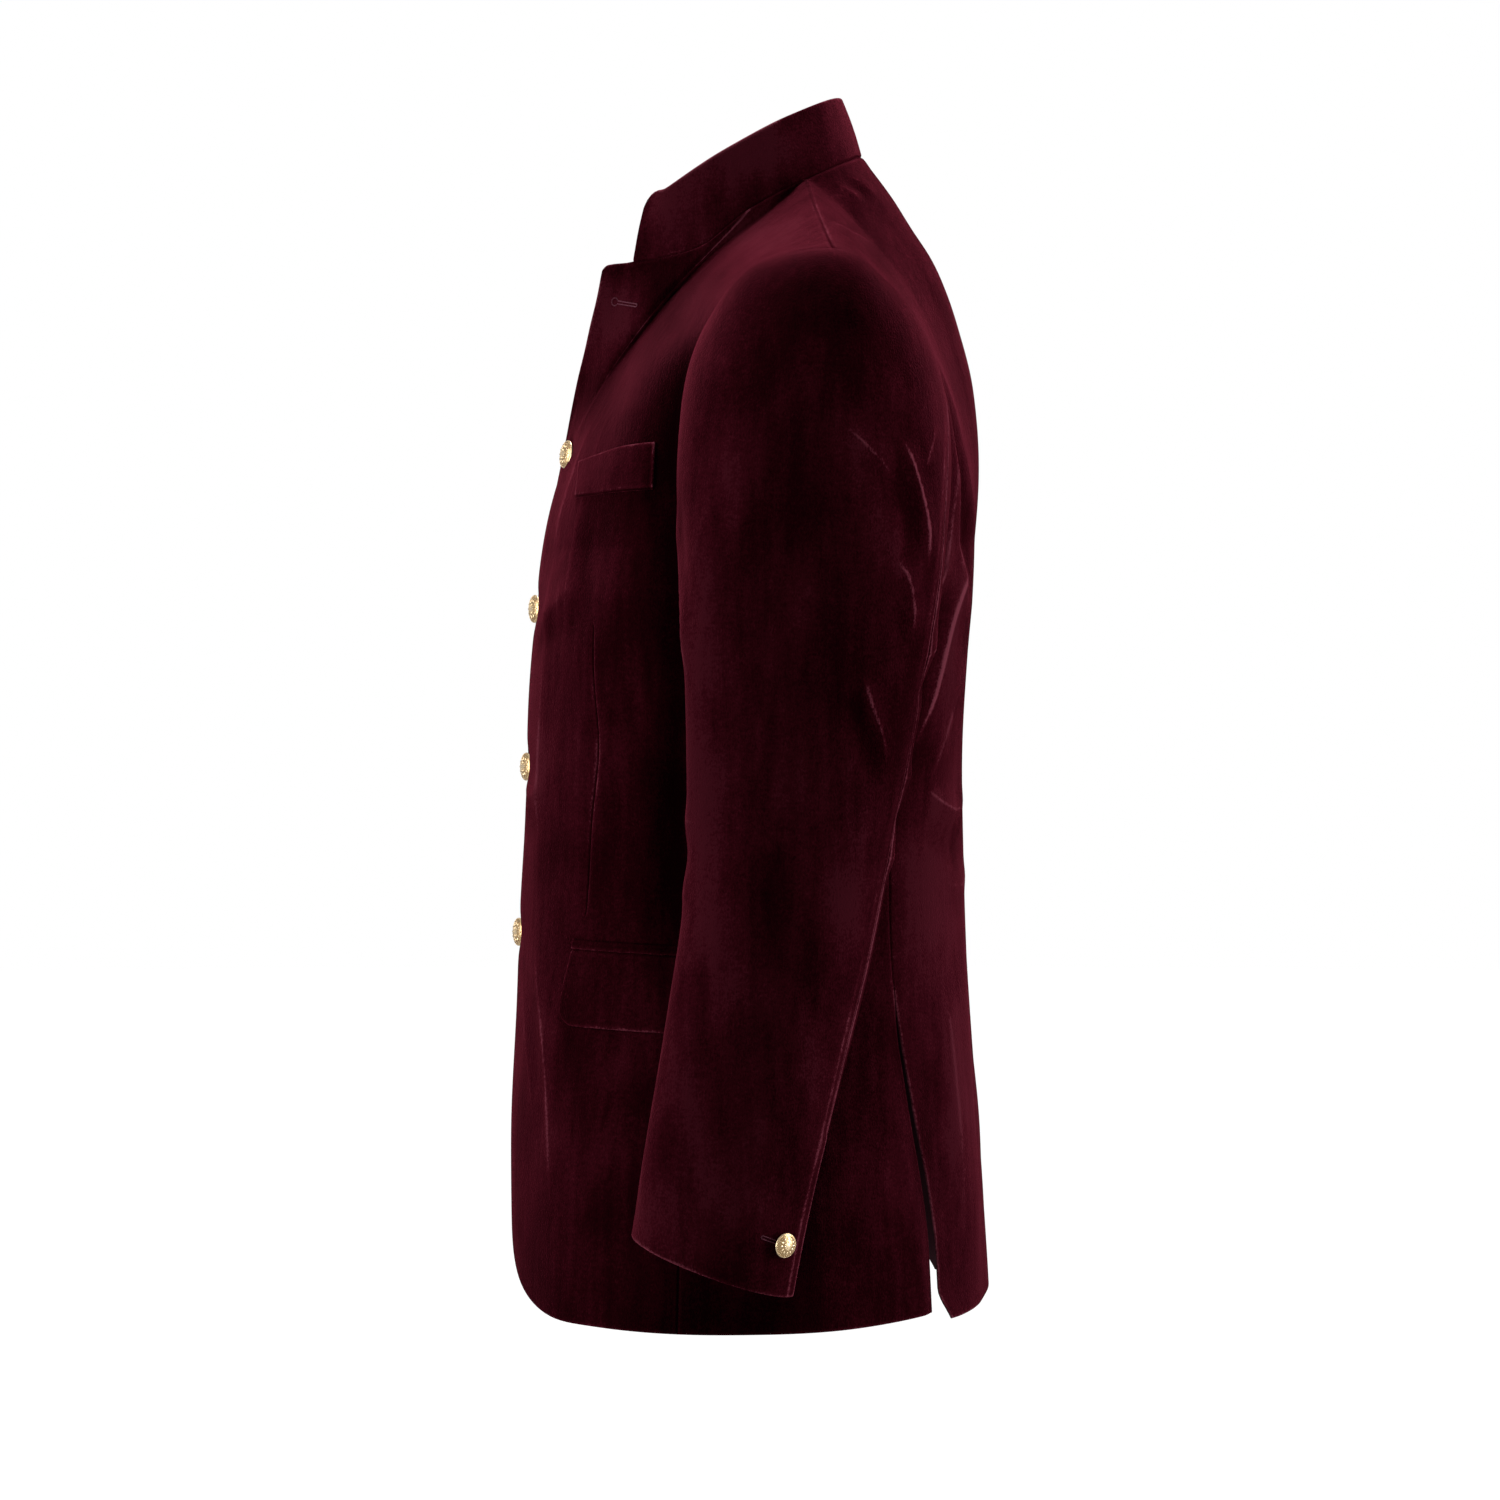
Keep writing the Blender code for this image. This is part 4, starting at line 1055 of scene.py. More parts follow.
def edge_roll(distance, radius):
    """How far a face has rolled in at this distance from a rounded edge."""
    inside = np.clip(radius - distance, 0, radius)
    return radius - np.sqrt(radius**2 - (ROLLED_SHARE * inside) ** 2)


def seam_sink(distance, depth=GROOVE_DEPTH):
    """How far the cloth sinks at this distance from a seam. It is negative on the ridge."""
    ridge = RIDGE_HEIGHT * bell(distance - RIDGE_PLACE, RIDGE_WIDTH)
    return depth * bell(distance, GROOVE_WIDTH) - ridge


def seam_painted_lines(distance):
    """Painted highlight beside a seam, with a painted dark line of shade in the seam itself."""
    bright = SEAM_HIGHLIGHT * bell(distance - SEAM_HIGHLIGHT_PLACE, SEAM_HIGHLIGHT_WIDTH)
    return bright - SEAM_DARK * bell(distance, SEAM_DARK_WIDTH)


def overlapped(points, open_shares):
    """The outermost line of each sewn side moved on a little, so that no light shows through
    the seam. open_shares says for each side how much of an open edge it is."""
    points = points.copy()
    for side, line in SIDE_LINES.items():
        pair = points[line] if side in ("bottom", "top") else np.swapaxes(points[line], 0, 1)
        way = unit(pair[0] - pair[1])
        share = np.broadcast_to(1 - np.asarray(open_shares.get(side, 0), float), len(way))
        pair[0] += SEAM_OVERLAP * share[:, None] * way
    return points


# %% Build the shell of one piece
cuts = {}


def new_item(name, data):
    """An object with this mesh, light or camera, put into the scene."""
    item = bpy.data.objects.new(name, data)
    bpy.context.scene.collection.objects.link(item)
    return item


def grid_area(points):
    """Area of a grid in square metres."""
    along = points[:-1, 1:] - points[:-1, :-1]
    up = points[1:, :-1] - points[:-1, :-1]
    return np.linalg.norm(np.cross(along, up), axis=2).sum() * MM * MM


def shell_mesh(name, outer, inner, marks):
    """A closed mesh between two grids, with a UV map in metres of cloth."""
    rows, columns, _ = outer.shape
    index = np.arange(rows * columns).reshape(rows, columns)
    under = rows * columns
    low, high = index[:-1], index[1:]
    quads = np.stack([low[:, :-1], low[:, 1:], high[:, 1:], high[:, :-1]], axis=-1).reshape(-1, 4)
    rim = np.concatenate([index[0], index[1:, -1], index[-1, -2::-1], index[-2:0:-1, 0]])
    after = np.roll(rim, -1)
    rim_quads = np.stack([after, rim, rim + under, after + under], axis=-1)
    faces = np.concatenate([quads, quads[:, ::-1] + under, rim_quads])
    vertices = np.concatenate([outer.reshape(-1, 3), inner.reshape(-1, 3)]) * MM
    data = bpy.data.meshes.new(name)
    data.from_pydata(vertices.tolist(), [], faces.tolist())
    kinds = np.zeros(len(faces), dtype=np.int32)
    kinds[len(quads) : 2 * len(quads)] = 1
    data.polygons.foreach_set("material_index", kinds)
    across = lengths_along(outer)
    across -= across[:, columns // 2 : columns // 2 + 1]
    flat = np.stack([across, lengths_up(outer)], axis=-1).reshape(-1, 2) * MM
    flat = np.concatenate([flat, flat])
    data.uv_layers.new(name="cloth").data.foreach_set("uv", flat[faces.ravel()].ravel())
    for mark, values in marks.items():
        both = np.concatenate([values.ravel(), values.ravel()])
        data.attributes.new(mark, "FLOAT", "POINT").data.foreach_set("value", both)
    data.shade_smooth()
    data.set_sharp_from_angle(angle=math.radians(60))
    for finish in CLOTH:
        data.materials.append(finish)
    return data


def cloth_piece(
    name, points, kinds, side="left", wall=CLOTH_WALL, lift=0, crease=(0, 0), pressed=(), lit=0,
    painted_shading=0, quiet=(),
):
    """A piece of cloth from the grid of its outer face, mirrored for the right side.

    kinds says for each side of the grid how much of an open edge it is, from 0 for a seam to 1,
    as one number or one for each point along that side. lift moves the cloth along its normal,
    and crease is the distance from the nearest sharp fold and its sharpness, for a thin painted
    highlight. pressed holds further (distance, depth) lines, such as a dart, which also get painted
    seam lines. lit is any further painted highlight in a line, the argument after it the painted
    light and shade in broad patches, and quiet names the sides whose painted seam lines hardly
    show."""
    lift, place, sharp, painted_shading = (
        np.broadcast_to(np.asarray(values, float), points.shape[:2])
        for values in (lift, *crease, painted_shading)
    )
    body = points + lift[..., None] * normals_of(points)
    normals = normals_of(body)
    soft = unit(softened(normals, 6))
    sink, rise, painted_line_shading = np.zeros((3, *points.shape[:2]))
    # Painted highlights and dark lines, which the velvet material adds to its colour.
    painted_line_shading += lit
    for edge, distance in side_distances(points).items():
        open_share = np.asarray(kinds.get(edge, 0), float)
        if edge in ("first", "last") and open_share.ndim:
            open_share = open_share[:, None]
        rolled = open_share * edge_roll(distance, wall / 2)
        sink = np.maximum(sink, rolled) + (1 - open_share) * seam_sink(distance)
        rise = np.maximum(rise, rolled)
        # Painted highlight on a rounded edge, or painted highlight and dark line at a seam.
        painted_line_shading += open_share * EDGE_LIGHT * bell(distance, EDGE_LIGHT_WIDTH)
        painted_line_shading += (1 - open_share) * (QUIET_SEAM if edge in quiet else 1) * seam_painted_lines(distance)
    for distance, depth in pressed:
        sink = sink + seam_sink(distance, depth)
        painted_line_shading += seam_painted_lines(distance) * depth / GROOVE_DEPTH
    outer = overlapped(body - sink[..., None] * normals, kinds)
    inner = overlapped(body - (wall - rise)[..., None] * soft, kinds)
    marks = {"painted_line_shading": painted_line_shading, "painted_shading": painted_shading, "crease_place": place, "crease_sharp": sharp}
    if side == "right":
        outer, inner = outer[:, ::-1] * FLIPPED, inner[:, ::-1] * FLIPPED
        marks = {mark: values[:, ::-1] for mark, values in marks.items()}
    item = new_item(name, shell_mesh(name, outer, inner, marks))
    width, length = (lengths(outer).max() * MM for lengths in (lengths_along, lengths_up))
    cuts[name] = (width, length, grid_area(outer))
    print("{}: cut {:.3f} x {:.3f} m, {:.4f} square metres".format(name, *cuts[name]))
    return item


# %% [markdown]
# ## Velvet
# Velvet is a woven ground with a dense, short cut pile. Light that falls straight into the pile
# is swallowed, so a face seen head on looks almost black, and light that grazes the tips comes
# back, so edges and folds glow. Blender's sheen does that. On top of it the pile is never
# combed evenly: a noise in long streaks down the cloth shows how it was stroked, two wide ones
# show where it was crushed, one gives it small flecks, and a very fine one is the pile itself.
# The five are one node group, because the velvet and the sewing thread both use it.

# %% Shader helpers
def fill(tree, node, values):
    """Gives a node's named sockets or settings their values, or joins them to other sockets."""
    for key, value in values.items():
        if isinstance(value, bpy.types.NodeSocket):
            tree.links.new(value, node.inputs[key])
        elif key in node.inputs:
            node.inputs[key].default_value = value
        else:
            setattr(node, key, value)
    return node


def add_node(tree, kind, **values):
    return fill(tree, tree.nodes.new(kind), values)


def calculate(tree, operation, *values):
    """A Math node on sockets or numbers."""
    node = add_node(tree, "ShaderNodeMath", operation=operation)
    for socket, value in zip(node.inputs, values):
        if isinstance(value, bpy.types.NodeSocket):
            tree.links.new(value, socket)
        else:
            socket.default_value = value
    return node.outputs[0]


def stretched_noise(tree, place, upwards, scale, detail):
    """A noise whose pattern is drawn out or squeezed upwards, as values round 0."""
    mapping = add_node(tree, "ShaderNodeMapping", Vector=place, Scale=(1, 1, upwards))
    noise = add_node(
        tree, "ShaderNodeTexNoise", Vector=mapping.outputs[0], Scale=scale, Detail=detail
    )
    return calculate(tree, "SUBTRACT", noise.outputs["Fac"], 0.5)


def object_place(tree):
    return add_node(tree, "ShaderNodeTexCoord").outputs["Object"]


def mark_on_mesh(tree, name):
    return add_node(tree, "ShaderNodeAttribute", attribute_name=name).outputs["Fac"]


# %% The nap as a node group
NAP_SCALES = {"Pile scale": 950.0, "Streak scale": 120.0, "Crush scale": 21.0}
WIDE_SCALE = 6.5
FLECK_SCALE = 210.0
STREAK_HEIGHT = 0.8


def make_nap():
    """Shade from 0 to 1 and height of a brushed pile."""
    tree = bpy.data.node_groups.new("brushed_nap", "ShaderNodeTree")
    for name, value in NAP_SCALES.items():
        socket = tree.interface.new_socket(name, in_out="INPUT", socket_type="NodeSocketFloat")
        socket.default_value = value
    for name in ("Shade", "Height"):
        tree.interface.new_socket(name, in_out="OUTPUT", socket_type="NodeSocketFloat")
    pile_scale, streak_scale, crush_scale = tree.nodes.new("NodeGroupInput").outputs[:3]
    place = object_place(tree)
    pile = stretched_noise(tree, place, 0.7, pile_scale, 2.0)
    streak = stretched_noise(tree, place, 0.16, streak_scale, 4.0)
    crush = stretched_noise(tree, place, 0.7, crush_scale, 5.0)
    wide = stretched_noise(tree, place, 0.6, WIDE_SCALE, 2.0)
    fleck = stretched_noise(tree, place, 2.4, FLECK_SCALE, 3.0)
    shade = 0.5
    for noise, share in ((streak, 0.42), (crush, 0.78), (pile, 0.6), (wide, 0.55), (fleck, 0.3)):
        shade = calculate(tree, "MULTIPLY_ADD", noise, share, shade)
    height = calculate(tree, "MULTIPLY_ADD", streak, STREAK_HEIGHT, pile)
    fill(tree, tree.nodes.new("NodeGroupOutput"), {"Shade": shade, "Height": height})
    return tree


nap = make_nap()
print("nap group inputs:", list(NAP_SCALES))


# %% Velvet and its wrong side
# Width in millimetres of the painted highlight on a crease's sharp edge.
CREASE_HIGHLIGHT_WIDTH = 0.95
CREASE_BUMP = 0.8
MARK_LIGHT = 0.55
PILE_LIMIT = 0.74
VELVET_TONES = (
    # place on the ramp from dark to lit, and colour
    (0.08, (0.0022, 0.0001, 0.0003)),
    (0.42, (0.0105, 0.0006, 0.0016)),
    (0.72, (0.030, 0.0024, 0.0053)),
    (1.0, (0.125, 0.026, 0.040)),
)
WRONG_SIDE_TONES = ((0.0, (0.012, 0.001, 0.003)), (1.0, (0.040, 0.004, 0.011)))
GROUND_THREADS = 420.0


def new_material(name):
    material = bpy.data.materials.new(name)
    material.use_nodes = True
    return material, material.node_tree, material.node_tree.nodes["Principled BSDF"]


def place_nap(tree, *scales):
    """The nap with its own scales or with these ones, for pile, streaks and crushed places."""
    group = add_node(tree, "ShaderNodeGroup", node_tree=nap)
    return fill(tree, group, dict(zip(NAP_SCALES, scales or NAP_SCALES.values())))


def ramp(tree, factor, stops):
    """A colour ramp read by factor, with (place, colour) stops."""
    node = add_node(tree, "ShaderNodeValToRGB", Fac=factor)
    while len(node.color_ramp.elements) < len(stops):
        node.color_ramp.elements.new(0.5)
    for element, (place, colour) in zip(node.color_ramp.elements, stops):
        element.position = place
        element.color = (*colour, 1)
    return node.outputs["Color"]


def bumped(tree, height, strength, distance):
    bump = add_node(tree, "ShaderNodeBump", Height=height, Strength=strength, Distance=distance)
    return bump.outputs["Normal"]


def make_velvet():
    material, tree, shader = new_material("velvet_pile")
    group = place_nap(tree)
    # A thin painted highlight across the crease's edge, as a bell curve: e to the minus (distance /
    # width) squared.
    across = calculate(tree, "DIVIDE", mark_on_mesh(tree, "crease_place"), CREASE_HIGHLIGHT_WIDTH)
    curve = calculate(tree, "POWER", 1 / math.e, calculate(tree, "MULTIPLY", across, across))
    line = calculate(tree, "MULTIPLY", curve, mark_on_mesh(tree, "crease_sharp"))
    # Painted light and shade in patches, then painted highlights and dark lines, move the colour
    # along the ramp.
    painted_shading = mark_on_mesh(tree, "painted_shading")
    pile = calculate(tree, "MULTIPLY_ADD", painted_shading, MARK_LIGHT, group.outputs["Shade"])
    pile = calculate(tree, "MINIMUM", pile, PILE_LIMIT)
    lit = calculate(tree, "ADD", mark_on_mesh(tree, "painted_line_shading"), line)
    tone = calculate(tree, "MULTIPLY_ADD", lit, MARK_LIGHT, pile)
    height = calculate(tree, "MULTIPLY_ADD", line, CREASE_BUMP, group.outputs["Height"])
    looks = {
        "Base Color": ramp(tree, tone, VELVET_TONES),
        "Roughness": 0.95,
        "Specular IOR Level": 0.0,
        "Sheen Weight": 0.62,
        "Sheen Roughness": 0.36,
        "Sheen Tint": (0.28, 0.036, 0.062, 1),
        "Normal": bumped(tree, height, 0.7, 0.0009),
    }
    fill(tree, shader, looks)
    return material


def make_wrong_side():
    """The woven ground seen from inside, plain and without pile."""
    material, tree, shader = new_material("velvet_wrong_side")
    place = add_node(tree, "ShaderNodeTexCoord").outputs["UV"]
    threads = []
    for direction in ("X", "Y"):
        wave = add_node(
            tree, "ShaderNodeTexWave", bands_direction=direction, Scale=GROUND_THREADS, Vector=place
        )
        threads.append(wave.outputs["Fac"])
    weave = calculate(tree, "MULTIPLY", *threads)
    looks = {
        "Base Color": ramp(tree, weave, WRONG_SIDE_TONES),
        "Roughness": 0.9,
        "Specular IOR Level": 0.1,
        "Normal": bumped(tree, weave, 0.5, 0.0003),
    }
    fill(tree, shader, looks)
    return material


CLOTH = (make_velvet(), make_wrong_side())
print("cloth materials:", [finish.name for finish in CLOTH])

# %% [markdown]
# ## The body pieces
# The left front laps over the right one. So the right front is the mirror image of the left,
# moved back by a few millimetres near the centre. The top edge of the open corner is free up to
# the notch where the collar begins, and sewn to the collar from there on.

# %% Shared by the body pieces
ARMHOLE_LEVEL = -270.0


def body_lift(points, side, free_edges, arm_side):
    """Folds and unevenness of the body. Pieces sewn together get the same ones, so they only
    fade out along free edges, along the armhole and at the centre back."""
    lift, place, sharp = fold_lift(points, "body", side)
    # Painted light and shade, from the folds and from the broad patches.
    shade = fold_shade(lift) + painted_patches(points, "body")
    lift += unevenness(points, BODY_SEEDS[side])
    near = side_distances(points)
    for edge, reach in free_edges:
        lift *= ease(near[edge] / reach)
    above = ease((points[..., 2] - ARMHOLE_LEVEL) / 20)
    beside = ease(near[arm_side] / 7)
    return lift * (1 - above * (1 - beside)), (place, sharp * beside), shade


# %% Where the front buttons pull on the cloth
FRONT_BUTTON_ACROSS = 0.68
FRONT_BUTTON_HEIGHTS = (-173, -276, -381, -491)
DIMPLE_DEPTH = 3.2
DIMPLE_RADIUS = 10.5
DIMPLE_DRAWN = (0.33, 1.3)


def on_strip(across, up):
    return panel_point(STRIP, across, up)


def up_at(height):
    """How far up the strip its button line reaches this height."""
    ups = np.linspace(0, 3, 601)
    return float(np.interp(height, on_strip(FRONT_BUTTON_ACROSS, ups)[..., 2], ups))


def dimples(points, side):
    """How deep the cloth is drawn in round the buttons that are done up."""
    total = np.zeros(points.shape[:2])
    for height in FRONT_BUTTON_HEIGHTS:
        middle = on_strip(FRONT_BUTTON_ACROSS, up_at(height))
        way = 1 if side == "left" else -1
        offset = points - middle * [way, 1, 1]
        # The hole is pulled from the wearer's left, so the dimple is longer on that side.
        offset[..., 0] *= np.where(offset[..., 0] * way > 0, *DIMPLE_DRAWN)
        total += DIMPLE_DEPTH * np.exp(-((offset / DIMPLE_RADIUS) ** 2).sum(axis=-1))
    return total


# %% Fronts
NOTCH_SHARE = 0.19
NOTCH_BLEND = 0.02
ROLL_HIGHLIGHT, ROLL_HIGHLIGHT_WIDTH = 0.75, 1.6
ROLL_HIGHLIGHT_FROM, ROLL_HIGHLIGHT_FADE = -210, 50
DART_FADES = (12, 40)
DART_AWAY = 60


def lapped(points):
    """The front that lies under the other one: set back near the centre."""
    points = points.copy()
    heights, depths = zip(*LAP_DEPTHS)
    depth = np.interp(points[..., 2], heights, depths)
    near, far = LAP_REACH
    points[..., 1] += depth * ease((far - np.abs(points[..., 0])) / (far - near))
    return points


def dart_line(points):
    """The dart's groove, fading out towards both of its points."""
    height, (low, high) = points[..., 2], DART_FADES
    fade = ease((height - DART[0][0]) / low) * ease((DART[-1][0] - height) / high)
    return line_distance(points, DART_COLUMN) + DART_AWAY * (1 - fade), GROOVE_DEPTH


def make_front(side):
    points = front_points if side == "left" else lapped(front_points)
    along_top = lengths_along(points[-1])
    corner = ease((NOTCH_SHARE - along_top / along_top[ROLL_COLUMN]) / NOTCH_BLEND + 0.5)
    lift, crease, shade = body_lift(points, side, (("first", 14), ("top", 8)), "last")
    lift -= dimples(points, side)
    # A thin painted highlight along the roll line of the open corner, fading in from below.
    roll_highlight = ease((points[..., 2] - ROLL_HIGHLIGHT_FROM) / ROLL_HIGHLIGHT_FADE)
    roll_highlight *= ROLL_HIGHLIGHT * bell(line_distance(points, ROLL_COLUMN), ROLL_HIGHLIGHT_WIDTH)
    return cloth_piece(
        f"cloth_front_{side}", points, {"first": 1, "bottom": 1, "top": corner}, side, lift=lift,
        crease=crease, pressed=[dart_line(points)], lit=roll_highlight, painted_shading=shade, quiet=("top",),
    )


fronts = {side: make_front(side) for side in SIDES}


# %% Sides and backs
UNDERLAP_DEPTH = 3.0
UNDERLAP_WIDTH = 13.0
UNDERLAP_SHADE = 0.3
VENT_TOP_FADE = 6


def vent_opening(column):
    """How far each point of a side edge is an open one, below the vent's top."""
    return ease((VENT_TOP - column[:, 2]) / VENT_TOP_FADE)


def make_side(side):
    """The side body. Below the vent's top its back edge turns in under the back's flap."""
    points = side_points
    kinds = {"last": vent_opening(points[:, -1]), "bottom": 1}
    lift, crease, shade = body_lift(points, side, (("top", 20),), "top")
    inwards = ease(1 - side_distances(points)["last"] / UNDERLAP_WIDTH)
    inwards *= ease(vent_share(points[..., 2]) / 0.2)
    return cloth_piece(
        f"cloth_side_{side}", points, kinds, side, lift=lift - UNDERLAP_DEPTH * inwards,
        crease=crease, painted_shading=shade - UNDERLAP_SHADE * inwards, quiet=("last",),
    )


def closed_vent(points):
    """The flap beside a vent hangs almost shut down to two centimetres above the hem."""
    below = vent_share(points[..., 2])
    shut = below * ease((1 - below) / VENT_OPENING)
    near = ease(1 - side_distances(points)["first"] / VENT_CLOSE_REACH)
    points = points.copy()
    points[..., 1] -= VENT_CLOSE * shut * near
    return points


def make_back(side):
    points = closed_vent(back_points)
    kinds = {"first": vent_opening(points[:, 0]), "bottom": 1}
    lift, crease, shade = body_lift(points, side, (("last", 12), ("top", 5)), "first")
    return cloth_piece(
        f"cloth_back_{side}", points, kinds, side, lift=lift, crease=crease, painted_shading=shade,
        quiet=("first",),
    )


sides = {side: make_side(side) for side in SIDES}
backs = {side: make_back(side) for side in SIDES}

# %% [markdown]
# ## Collar and sleeves
# The collar is two layers of velvet over a stiff interlining, so it is thicker than the rest,
# and it bulges a little. The sleeves are set into the armholes, and their caps are eased in
# without gathers. At the cuff the hind seam ends in a short vent, where the top sleeve lies
# over the under sleeve.

# %% Collar
COLLAR_BULGE = 0.8


def make_collar():
    points = collar_points
    near = side_distances(points)
    height = near["bottom"] + near["top"]
    lift = COLLAR_BULGE * np.sin(math.pi * np.clip(near["bottom"] / height, 0, 1))
    lift += 0.5 * unevenness(points, 41, shortest=40, longest=90) * ease(near["bottom"] / 12)
    return cloth_piece(
        "cloth_collar", points, {"first": 1, "last": 1, "top": 1}, wall=COLLAR_WALL, lift=lift,
        painted_shading=painted_patches(points, "collar"), quiet=("bottom",),
    )


collar = make_collar()

# %% Sleeves
CUFF_VENT = -600
CUFF_VENT_FADE = 8
VENT_OVERLAP, VENT_OVERLAP_WIDTH = 1.3, 16
HIND_HIGHLIGHT = 0.5
HIND_SECOND_HIGHLIGHT, HIND_SECOND_HIGHLIGHT_PLACE, HIND_SECOND_HIGHLIGHT_WIDTH = 0.62, 7.5, 1.1
SLEEVE_SEEDS = {"left": 51, "right": 52}


def make_sleeve(span, side):
    points = sleeve_points[span]
    low = ease((CUFF_VENT - points[..., 2]) / CUFF_VENT_FADE)
    lift, place, sharp = fold_lift(points, "sleeve", side)
    # Painted light and shade, from the folds and from the broad patches.
    shade = fold_shade(lift) + painted_patches(points, "sleeve")
    lift += unevenness(points, SLEEVE_SEEDS[side])
    near = side_distances(points)
    lift *= ease(near["top"] / 16) * ease(near["bottom"] / 20)
    kinds = {"bottom": 1}
    from_hind = near["last" if span == "top" else "first"]
    # A thin painted highlight beside the hind seam.
    hind_highlights = HIND_HIGHLIGHT * bell(from_hind - SEAM_HIGHLIGHT_PLACE, SEAM_HIGHLIGHT_WIDTH)
    if span == "top":
        kinds["last"] = low[:, -1]
        lift += VENT_OVERLAP * low * ease(1 - from_hind / VENT_OVERLAP_WIDTH)
        # A second painted highlight beside the hind seam stands in for the edge of the seam
        # allowance underneath.
        second = HIND_SECOND_HIGHLIGHT * bell(from_hind - HIND_SECOND_HIGHLIGHT_PLACE, HIND_SECOND_HIGHLIGHT_WIDTH)
        hind_highlights += second * ease(near["top"] / 60)
    return cloth_piece(
        f"cloth_sleeve_{span}_{side}", points, kinds, side, lift=lift,
        crease=(place, sharp * ease(near["top"] / 10)), lit=hind_highlights, painted_shading=shade,
    )


sleeves = {(span, side): make_sleeve(span, side) for span in SLEEVE_SPANS for side in SIDES}

# %% [markdown]
# ## Pockets
# The breast pocket is a welt, a folded strip that stands over the opening. Each hip pocket has
# a narrow jetting above its mouth and a flap that hangs from it. All are laid on the panels:
# their points are read from the panel's own surface and moved out along its normal.

# %% Lay a piece on the cloth
FLAP_WALL = 1.6
LAID_GAP = 0.6
WELT_TOP = ((-109, -183), (-60, -174.5))
WELT_BOTTOM = ((-112, -206), (-62, -204))
FLAP_FRONT_Y = -113.0
FLAP_TOP = -498.0
FLAP_LENGTH = 155.0
FLAP_HEIGHT = 53.0
FLAP_SLANT = 9.0
FLAP_DROP = 5.0
FLAP_CORNER = 14.0
FLAP_CORNER_RISE = 10.5
JETTING_HEIGHT = 6.0
JETTING_GAP = 1.0


def find_on(panel, y, z, up_from):
    """Where on a panel the points with this y and z are, as seen from the wearer's left."""
    across = np.full(np.shape(y), 0.5)
    up = np.full(np.shape(y), float(up_from))
    step = 1e-3
    for _ in range(12):
        here = panel_point(panel, across, up)[..., 1:]
        by_across = (panel_point(panel, across + step, up)[..., 1:] - here) / step
        by_up = (panel_point(panel, across, up + step)[..., 1:] - here) / step
        miss = np.stack([y, z], axis=-1) - here
        scale = by_across[..., 0] * by_up[..., 1] - by_across[..., 1] * by_up[..., 0]
        across = across + (miss[..., 0] * by_up[..., 1] - miss[..., 1] * by_up[..., 0]) / scale
        up = up + (by_across[..., 0] * miss[..., 1] - by_across[..., 1] * miss[..., 0]) / scale
    return across, up


def laid(points, side):
    """A strip's points moved out from the panel, over whatever folds the panel has there."""
    lift = fold_lift(points, "body", side)[0] + unevenness(points, BODY_SEEDS[side])
    return points + (FLAP_WALL + LAID_GAP + lift)[..., None] * normals_of(points)


# %% Welt
WELT_GRID = ((50, 26), (24, 10))
WELT_BOW = 2.2
TACK_PLACE, TACK_DEPTH = 2.6, 0.35


def make_welt():
    across = shares_up(*WELT_GRID[0])[None, :, None]
    up = shares_up(*WELT_GRID[1])[:, None, None]
    (top_start, top_end), (low_start, low_end) = np.array(WELT_TOP), np.array(WELT_BOTTOM)
    places = mix(mix(low_start, low_end, across), mix(top_start, top_end, across), up)
    places[..., 1] += WELT_BOW * np.sin(math.pi * across[..., 0]) * up[..., 0]
    share, height = find_on(FRONT, places[..., 0], places[..., 1], 2.3)
    points = laid(panel_point(FRONT, share, height), "left")
    tack = (np.abs(side_distances(points)["last"] - TACK_PLACE), TACK_DEPTH)
    return cloth_piece(
        "cloth_breast_welt", points, {"first": 1, "last": 1, "top": 1}, wall=FLAP_WALL,
        pressed=[tack], painted_shading=painted_patches(points, "welt"),
    )


welt = make_welt()


# %% Hip pockets
HIP_TURNS = np.radians(np.linspace(30, 110, 400))
HIP_COLUMNS, FLAP_ROWS, JETTING_ROWS = 62, 20, 2
FLAP_SEEDS = {"left": 61, "right": 62}
FLAP_CURL = 0.9
JETTING_SHADE = 0.25


def hip_strip(top, bottom, slant, down):
    """Lengths round the hip from the front, heights and turns of a strip's points, at the
    shares down. The front end moves forward by slant from the top to the bottom."""
    line = body_point(np.full(HIP_TURNS.shape, FLAP_TOP), HIP_TURNS)
    lengths = lengths_along(line)
    start = np.interp(FLAP_FRONT_Y, line[:, 1], lengths)
    along, down = shares_up(FLAP_LENGTH, HIP_COLUMNS)[None, :], down[::-1, None]
    first = start - slant * np.sin(down * math.pi / 2)
    length = mix(first, start + FLAP_LENGTH, along)
    height = mix(top, bottom, down) - FLAP_DROP * along
    return length, height, np.interp(length, lengths, HIP_TURNS)


def flap_points():
    bottom = FLAP_TOP - FLAP_HEIGHT + FLAP_DROP
    down = shares_up(FLAP_HEIGHT, FLAP_ROWS)
    length, height, turn = hip_strip(FLAP_TOP, bottom, FLAP_SLANT, down)
    # The flap's two lower corners are rounded.
    ends = np.minimum(length - length[:, :1], length[:, -1:] - length)
    share = (FLAP_TOP - height[:, :1]) / (FLAP_TOP - bottom)
    inside = np.clip(1 - ends / FLAP_CORNER, 0, 1)
    return body_point(height + FLAP_CORNER_RISE * share * rounding(inside), turn)


def jetting_points():
    low = FLAP_TOP + JETTING_GAP
    down = shares_up(JETTING_HEIGHT, JETTING_ROWS)
    _, height, turn = hip_strip(low + JETTING_HEIGHT, low, 0, down)
    return body_point(height, turn)


